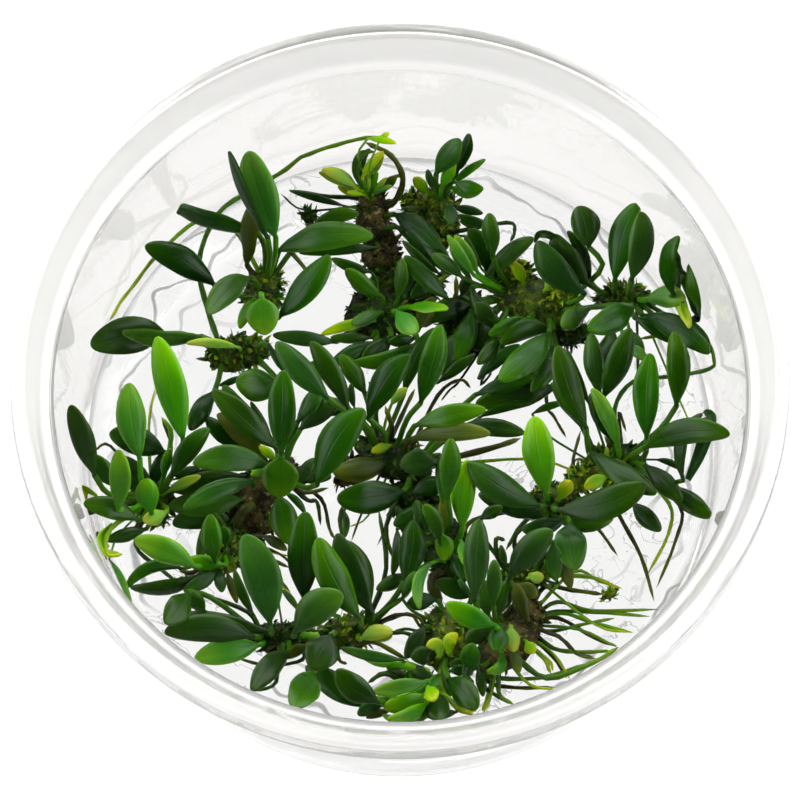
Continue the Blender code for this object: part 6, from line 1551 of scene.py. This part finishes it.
mossMixes = {
    "brown": {"tones": ("dark", "olive", "olive", "earth", "earth"), "length": (0.4, 1.3),
              "width": (0.3, 0.7), "threads": 0.3},
    "green": {"tones": ("green", "olive", "green", "olive", "lime", "fresh"), "length": (0.5, 1.5),
              "width": (0.4, 0.9), "threads": 0.1},
    "dark": {"tones": ("dark", "green", "green", "olive", "earth"), "length": (0.5, 1.6),
             "width": (0.4, 1.0), "threads": 0.1},
    "lime": {"tones": ("lime", "olive", "lime", "green", "fresh"), "length": (0.5, 1.5),
             "width": (0.4, 0.9), "threads": 0.1},
}
# the clumps whose moss isn't the green mix
clumpMixes = {
    "left_centre": "brown", "front_left": "dark", "back_centre": "brown", "centre_back": "dark",
    "right": "dark", "front_right": "brown", "centre": "dark", "centre_front": "dark",
}


def fineWidth(t):
    # a narrower foot and a rounder tip than the solid's
    return max(0.0, math.sin(math.pi * t)) ** (0.84 - 0.34 * t)


def acrossOf(corner, corners):
    # how far across its map a corner of a ring lies
    return 0.5 + 0.5 * math.cos(2 * math.pi * corner / corners)


def ringAt(point, side, face, halfWidth, halfThick, valley, droop, corners):
    # a closed section: round without valley and droop, else two domed halves beside a midrib
    ring = []
    for corner in range(corners):
        angle = 2 * math.pi * corner / corners
        s, t = math.cos(angle), math.sin(angle)
        rise = halfWidth * (valley * abs(s) - droop * abs(s) ** fine["droopCurve"])
        ring.append(point + side * (halfWidth * s) + face * (halfThick * t + rise))
    return ring


def ownShade(chance):
    return (chance.random(), chance.random(), chance.random(), 1.0)


def anyWay(chance, reach):
    return Vector((chance.uniform(-reach, reach), chance.uniform(-reach, reach),
                   chance.uniform(-reach, reach)))


class Piece:
    # vertices, faces, map places and materials gathered for one object

    def __init__(self, name):
        self.name = name
        self.vertices = []
        self.faces = []
        self.places = []
        self.shades = []
        self.slots = []
        self.materials = []

    def slotOf(self, material):
        if material not in self.materials:
            self.materials.append(material)
        return self.materials.index(material)

    def addFace(self, corners, places, shade, slot):
        self.faces.append(corners)
        self.places.append(places)
        self.shades.append(shade)
        self.slots.append(slot)

    def addTube(self, rings, alongs, tip, material, shade, lateMaterial=None, lateRow=0):
        # rings of equal size, closed by a cap at the start and a point at the end
        corners = len(rings[0])
        start = len(self.vertices)
        for ring in rings:
            self.vertices += ring
        self.vertices.append(tip)
        first = self.slotOf(material)
        later = self.slotOf(lateMaterial) if lateMaterial else first
        self.addFace([start + i for i in range(corners)], [(0.5, 0.0)] * corners, shade, first)
        sides = [(i, (i + 1) % corners) for i in range(corners)]
        for row in range(len(rings) - 1):
            a = start + row * corners
            low, high = alongs[row], alongs[row + 1]
            for i, j in sides:
                ui, uj = acrossOf(i, corners), acrossOf(j, corners)
                self.addFace(
                    [a + i, a + corners + i, a + corners + j, a + j],
                    [(ui, low), (ui, high), (uj, high), (uj, low)], shade,
                    later if row >= lateRow else first,
                )
        last = start + (len(rings) - 1) * corners
        end = last + corners
        for i, j in sides:
            places = [(acrossOf(i, corners), alongs[-1]), (0.5, 1.0),
                      (acrossOf(j, corners), alongs[-1])]
            self.addFace([last + i, end, last + j], places, shade, later)

    def build(self):
        mesh = bpy.data.meshes.new(self.name)
        mesh.from_pydata([point * mm for point in self.vertices], [], self.faces)
        layer = mesh.uv_layers.new(name="bladeMap")
        places = [place for face in self.places for place in face]
        layer.data.foreach_set("uv", [n for place in places for n in place])
        shades = mesh.attributes.new("ownShade", "FLOAT_COLOR", "FACE")
        shades.data.foreach_set("color", [n for shade in self.shades for n in shade])
        mesh.polygons.foreach_set("material_index", self.slots)
        for material in self.materials:
            mesh.materials.append(material)
        mesh.shade_smooth()
        made = addObject(self.name, mesh)
        outward = bmesh.new()
        outward.from_mesh(mesh)
        bmesh.ops.recalc_face_normals(outward, faces=outward.faces)
        outward.to_mesh(mesh)
        outward.free()
        mesh.set_sharp_from_angle(angle=math.radians(fine["sharpAngle"]))
        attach(made, "root")
        return made


def addLeaf(piece, row, clump, lift, chance):
    # a petiole that opens into a blade, with its own waves, groove and droop
    tone, width, roll = row[1:4]
    rows = fine["bladeRows"] if width > leaf["budWidth"] else fine["budRows"]
    steps = [0.5 - 0.5 * math.cos(math.pi * i / rows) for i in range(rows + 1)]
    petiole = smoothPath(petioleStops(row, clump, lift), fine["petioleRows"])
    path = petiole + bladePoints(row, lift, steps)[1:]
    turn = len(petiole) - 1
    corners = fine["ringCorners"]
    wave = chance.uniform(0, 2 * math.pi)
    waves = chance.uniform(*fine["waveRange"])
    valley = fine["valley"] * chance.uniform(*fine["valleyRange"])
    droop = fine["droop"] * chance.uniform(*fine["droopRange"])
    skew = fine["skew"] * width * chance.uniform(*fine["skewRange"])
    rings = []
    alongs = []
    foot = min(leaf["petiole"], fine["footShare"] * width)
    for index in range(len(path) - 1):
        t = steps[max(0, index - turn)]
        side, face = across(path, index, roll * min(1.0, t * fine["rollEase"]))
        opening = min(1.0, t * fine["opening"])
        halfWidth = max(0.5 * fine["widen"] * width * fineWidth(t), foot * (1 - opening))
        blade = 0.5 * fine["thickness"] * opening * (1 - fine["thinning"] * t)
        halfThick = min(foot * (1 - opening) + blade, fine["thickest"] * halfWidth)
        middle = path[index] + side * (skew * math.sin(math.pi * t))
        ring = ringAt(middle, side, face, halfWidth, halfThick, valley * opening,
                      droop * opening, corners)
        if t > 0:
            for i, point in enumerate(ring):
                s = math.cos(2 * math.pi * i / corners)
                lag = fine["waveLag"] if s > 0 else 0
                lifted = math.sin(waves * 2 * math.pi * t + wave + lag)
                ring[i] = point + face * (fine["waviness"] * halfWidth * s * s * lifted * opening)
        rings.append(ringInside(ring, fine["margin"]))
        alongs.append(t)
    stemTone = "green" if tone == "dark" else tone
    piece.addTube(rings, alongs, keptInside(path[-1], fine["margin"]), stemMaterials[stemTone],
                  ownShade(chance), bladeMaterials[tone], turn)


def addStem(piece, tone, radius, planPoints, clump, chance):
    # a tapering stem or root, a little lumpy
    points = [seen(*point) for point in planPoints]
    points[0] = growthPoint(clump, points[1])
    path = smoothPath(points, fine["stemStep"] * (len(points) - 1) + 1)
    rings = []
    alongs = []
    for index in range(len(path) - 1):
        side, face = across(path, index, 0)
        t = index / (len(path) - 1)
        lump = math.sin(index * fine["lumpStep"] + radius * fine["lumpPhase"])
        size = radius * (1.0 - stemTaper * t) * (1 + fine["stemLump"] * lump)
        ring = ringAt(path[index], side, face, size, size, 0.0, 0.0, fine["stemCorners"])
        rings.append(ringInside(ring, fine["margin"]))
        alongs.append(t)
    piece.addTube(rings, alongs, keptInside(path[-1], fine["margin"]), stemMaterials[tone],
                  ownShade(chance))


def addCurl(piece, tone, width, planPoints, chance):
    # a narrow leaf rolled along its length, hooked at the end
    path = smoothPath([seen(*point) for point in planPoints], curl["rows"])
    rings = []
    alongs = []
    for index in range(len(path) - 1):
        side, face = across(path, index, curl["roll"])
        t = index / (len(path) - 1)
        oval = max(0.0, math.sin(math.pi * (0.12 + 0.84 * t))) ** 0.9
        ring = ringAt(path[index], side, face, max(curl["narrowest"], 0.5 * width * oval),
                      curl["thickness"], curl["valley"], -curl["rise"], curl["corners"])
        rings.append(ringInside(ring, fine["margin"]))
        alongs.append(t)
    piece.addTube(rings, alongs, keptInside(path[-1], fine["margin"]), bladeMaterials[tone],
                  ownShade(chance))


def knobs(point):
    return sum(size * noise(point * scale) for size, scale in moss["knobs"])


def addMoss(piece, mix, clump, chance, flakes):
    # a lumpy cushion with small flakes and threads standing out of it
    look = mossMixes[mix]
    vertices, faces = rhizomeShape(clump, moss["segments"], moss["rings"], knobs)
    start = len(piece.vertices)
    piece.vertices += vertices
    slot = piece.slotOf(mossMaterials[mix])
    for face in faces:
        piece.addFace([start + i for i in face], [(0.5, 0.1)] * len(face), moss["shade"], slot)
    centre = rhizomeCentre(clump)
    size, turn = clump["rhizome"][1:]
    for flake in range(flakes):
        z = chance.uniform(moss["lowest"], 1.0)
        angle = chance.uniform(0, 2 * math.pi)
        flat = math.sqrt(max(0.0, 1 - z * z))
        x, y = math.cos(angle) * flat, math.sin(angle) * flat
        onSkin = turned(x * size[0] / 2, y * size[1] / 2, z * size[2] / 2, turn)
        root = centre + moss["rootDepth"] * onSkin
        out = (root - centre).normalized() + anyWay(chance, moss["spread"])
        out.z += moss["upward"]
        out.normalize()
        length = chance.uniform(*look["length"])
        thread = chance.random() < look["threads"]
        width = moss["threadWidth"] if thread else chance.uniform(*look["width"])
        addFlake(piece, root, out, length, width, chance.choice(look["tones"]), chance)


def addFlake(piece, root, out, length, width, tone, chance):
    # one tiny bent leaf or thread, flat in section
    bend = anyWay(chance, 0.5) + Vector((0, 0, moss["sag"]))
    side = out.cross(anyWay(chance, 1)).normalized()
    face = out.cross(side).normalized()
    rings = []
    for t, share in moss["flakeShape"]:
        point = root + out * (length * t) + bend * (length * t * t)
        half = 0.5 * width * share
        thick = max(0.04, 0.3 * half)
        ring = [point + side * half, point + face * thick,
                point - side * half, point - face * thick]
        rings.append(ringInside(ring, moss["margin"]))
    tip = keptInside(root + out * length + bend * length, moss["margin"])
    alongs = [t for t, share in moss["flakeShape"]]
    piece.addTube(rings, alongs, tip, bladeMaterials[tone], ownShade(chance))


def nearestClump(u, v):
    return min(clumps, key=lambda name: math.dist((u, v), clumps[name]["rhizome"][0]))


def camelName(node):
    words = node.split("_")
    return words[0] + "".join(word.capitalize() for word in words[1:])


def makePlants():
    chance = random.Random(fine["seed"])
    pieces = {}
    for name, clump in clumps.items():
        node = "rhizome_" + name
        pieces[node] = Piece(camelName("clump_" + name))
        addMoss(pieces[node], clumpMixes.get(name, "green"), clump, chance, moss["clumpFlakes"])
        for tone, radius, points in clump["stems"]:
            addStem(pieces[node], tone, radius, points, clump, chance)
    for node, name, row, lift in planting():
        if node not in pieces:
            pieces[node] = Piece(camelName(node))
        addLeaf(pieces[node], row, clumps[name], lift, chance)
    for mix, middle, size, turn in mossCushions:
        cushion = {"rhizome": (middle, size, turn)}
        flakes = round(moss["cushionFlakes"] * size[0] * size[1])
        addMoss(pieces["rhizome_" + nearestClump(*middle)], mix, cushion, chance, flakes)
    for tone, radius, points in moreStems:
        name = nearestClump(*points[0][:2])
        addStem(pieces["rhizome_" + name], tone, radius, points, clumps[name], chance)
    for tone, width, points in curledLeaves:
        addCurl(pieces["rhizome_" + nearestClump(*points[0][:2])], tone, width, points, chance)
    for row in moreLeaves:
        name = nearestClump(*row[4][:2])
        addLeaf(pieces["rhizome_" + name], ("shoot",) + row, clumps[name], 0.0, chance)
    for node, piece in pieces.items():
        made = piece.build()
        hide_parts(node)
    print("plants:", len(pieces), "pieces")


makePlants()


# The bright floor, soft panels and the camera at the photo's angle.

studio = {
    "floorColour": (0.1, 0.1, 0.1, 1), "floorGlow": 1.0, "floorRoughness": 0.9,
    "floorSize": 3000.0, "floorDrop": 0.3, "skyDim": 0.05, "skyPanel": 5.0,
    "panelEdge": (0.5, 0.74), "panelFoot": (0.1, 0.3), "lens": 182.7, "sensor": 36.0,
    "nearest": 10.0, "target": (0.0, 0.0, 34.6),
}


def makeFloor():
    mesh = bpy.data.meshes.new("floor")
    half = studio["floorSize"] * mm / 2
    corners = [(-half, -half, 0), (half, -half, 0), (half, half, 0), (-half, half, 0)]
    mesh.from_pydata(corners, [], [(0, 1, 2, 3)])
    material = bpy.data.materials.new("paleFloor")
    shader = shaderOf(material)[1]
    shader.inputs["Base Color"].default_value = studio["floorColour"]
    shader.inputs["Roughness"].default_value = studio["floorRoughness"]
    shader.inputs["Emission Color"].default_value = (1, 1, 1, 1)
    shader.inputs["Emission Strength"].default_value = studio["floorGlow"]
    material.cycles.emission_sampling = "NONE"
    mesh.materials.append(material)
    made = addObject("floor", mesh)
    made.location.z = -studio["floorDrop"] * mm


def makeSky():
    # soft panels left, right and behind in a dim room
    world = bpy.data.worlds.new("softStudio")
    bpy.context.scene.world = world
    world.use_nodes = True
    world.cycles.sampling_method = "NONE"
    tree = world.node_tree
    back = tree.nodes["Background"]
    place = addNode(tree, "ShaderNodeTexCoord").outputs["Generated"]
    x, y, z = addNode(tree, "ShaderNodeSeparateXYZ", {0: place}).outputs
    away = mathNode(tree, "MAXIMUM", mathNode(tree, "ABSOLUTE", x), y)
    panel = times(tree, rangeNode(tree, away, *studio["panelEdge"]),
                  rangeNode(tree, z, *studio["panelFoot"]))
    light = times(tree, panel, studio["skyPanel"] - studio["skyDim"])
    tree.links.new(plus(tree, light, studio["skyDim"]), back.inputs["Strength"])
    back.inputs["Color"].default_value = (1, 1, 1, 1)


def makeCamera():
    data = bpy.data.cameras.new("camera")
    data.lens = studio["lens"]
    data.sensor_width = studio["sensor"]
    data.clip_start = studio["nearest"] * mm
    made = addObject("camera", data)
    made.location = eye * mm
    made.rotation_euler = (Vector(studio["target"]) - eye).to_track_quat("-Z", "Y").to_euler()
    bpy.context.scene.camera = made


makeFloor()
makeSky()
makeCamera()
bpy.context.scene.view_settings.view_transform = "Standard"
bpy.context.scene.view_settings.look = "None"
print("floor, light and camera done")

bpy.context.view_layer.update()
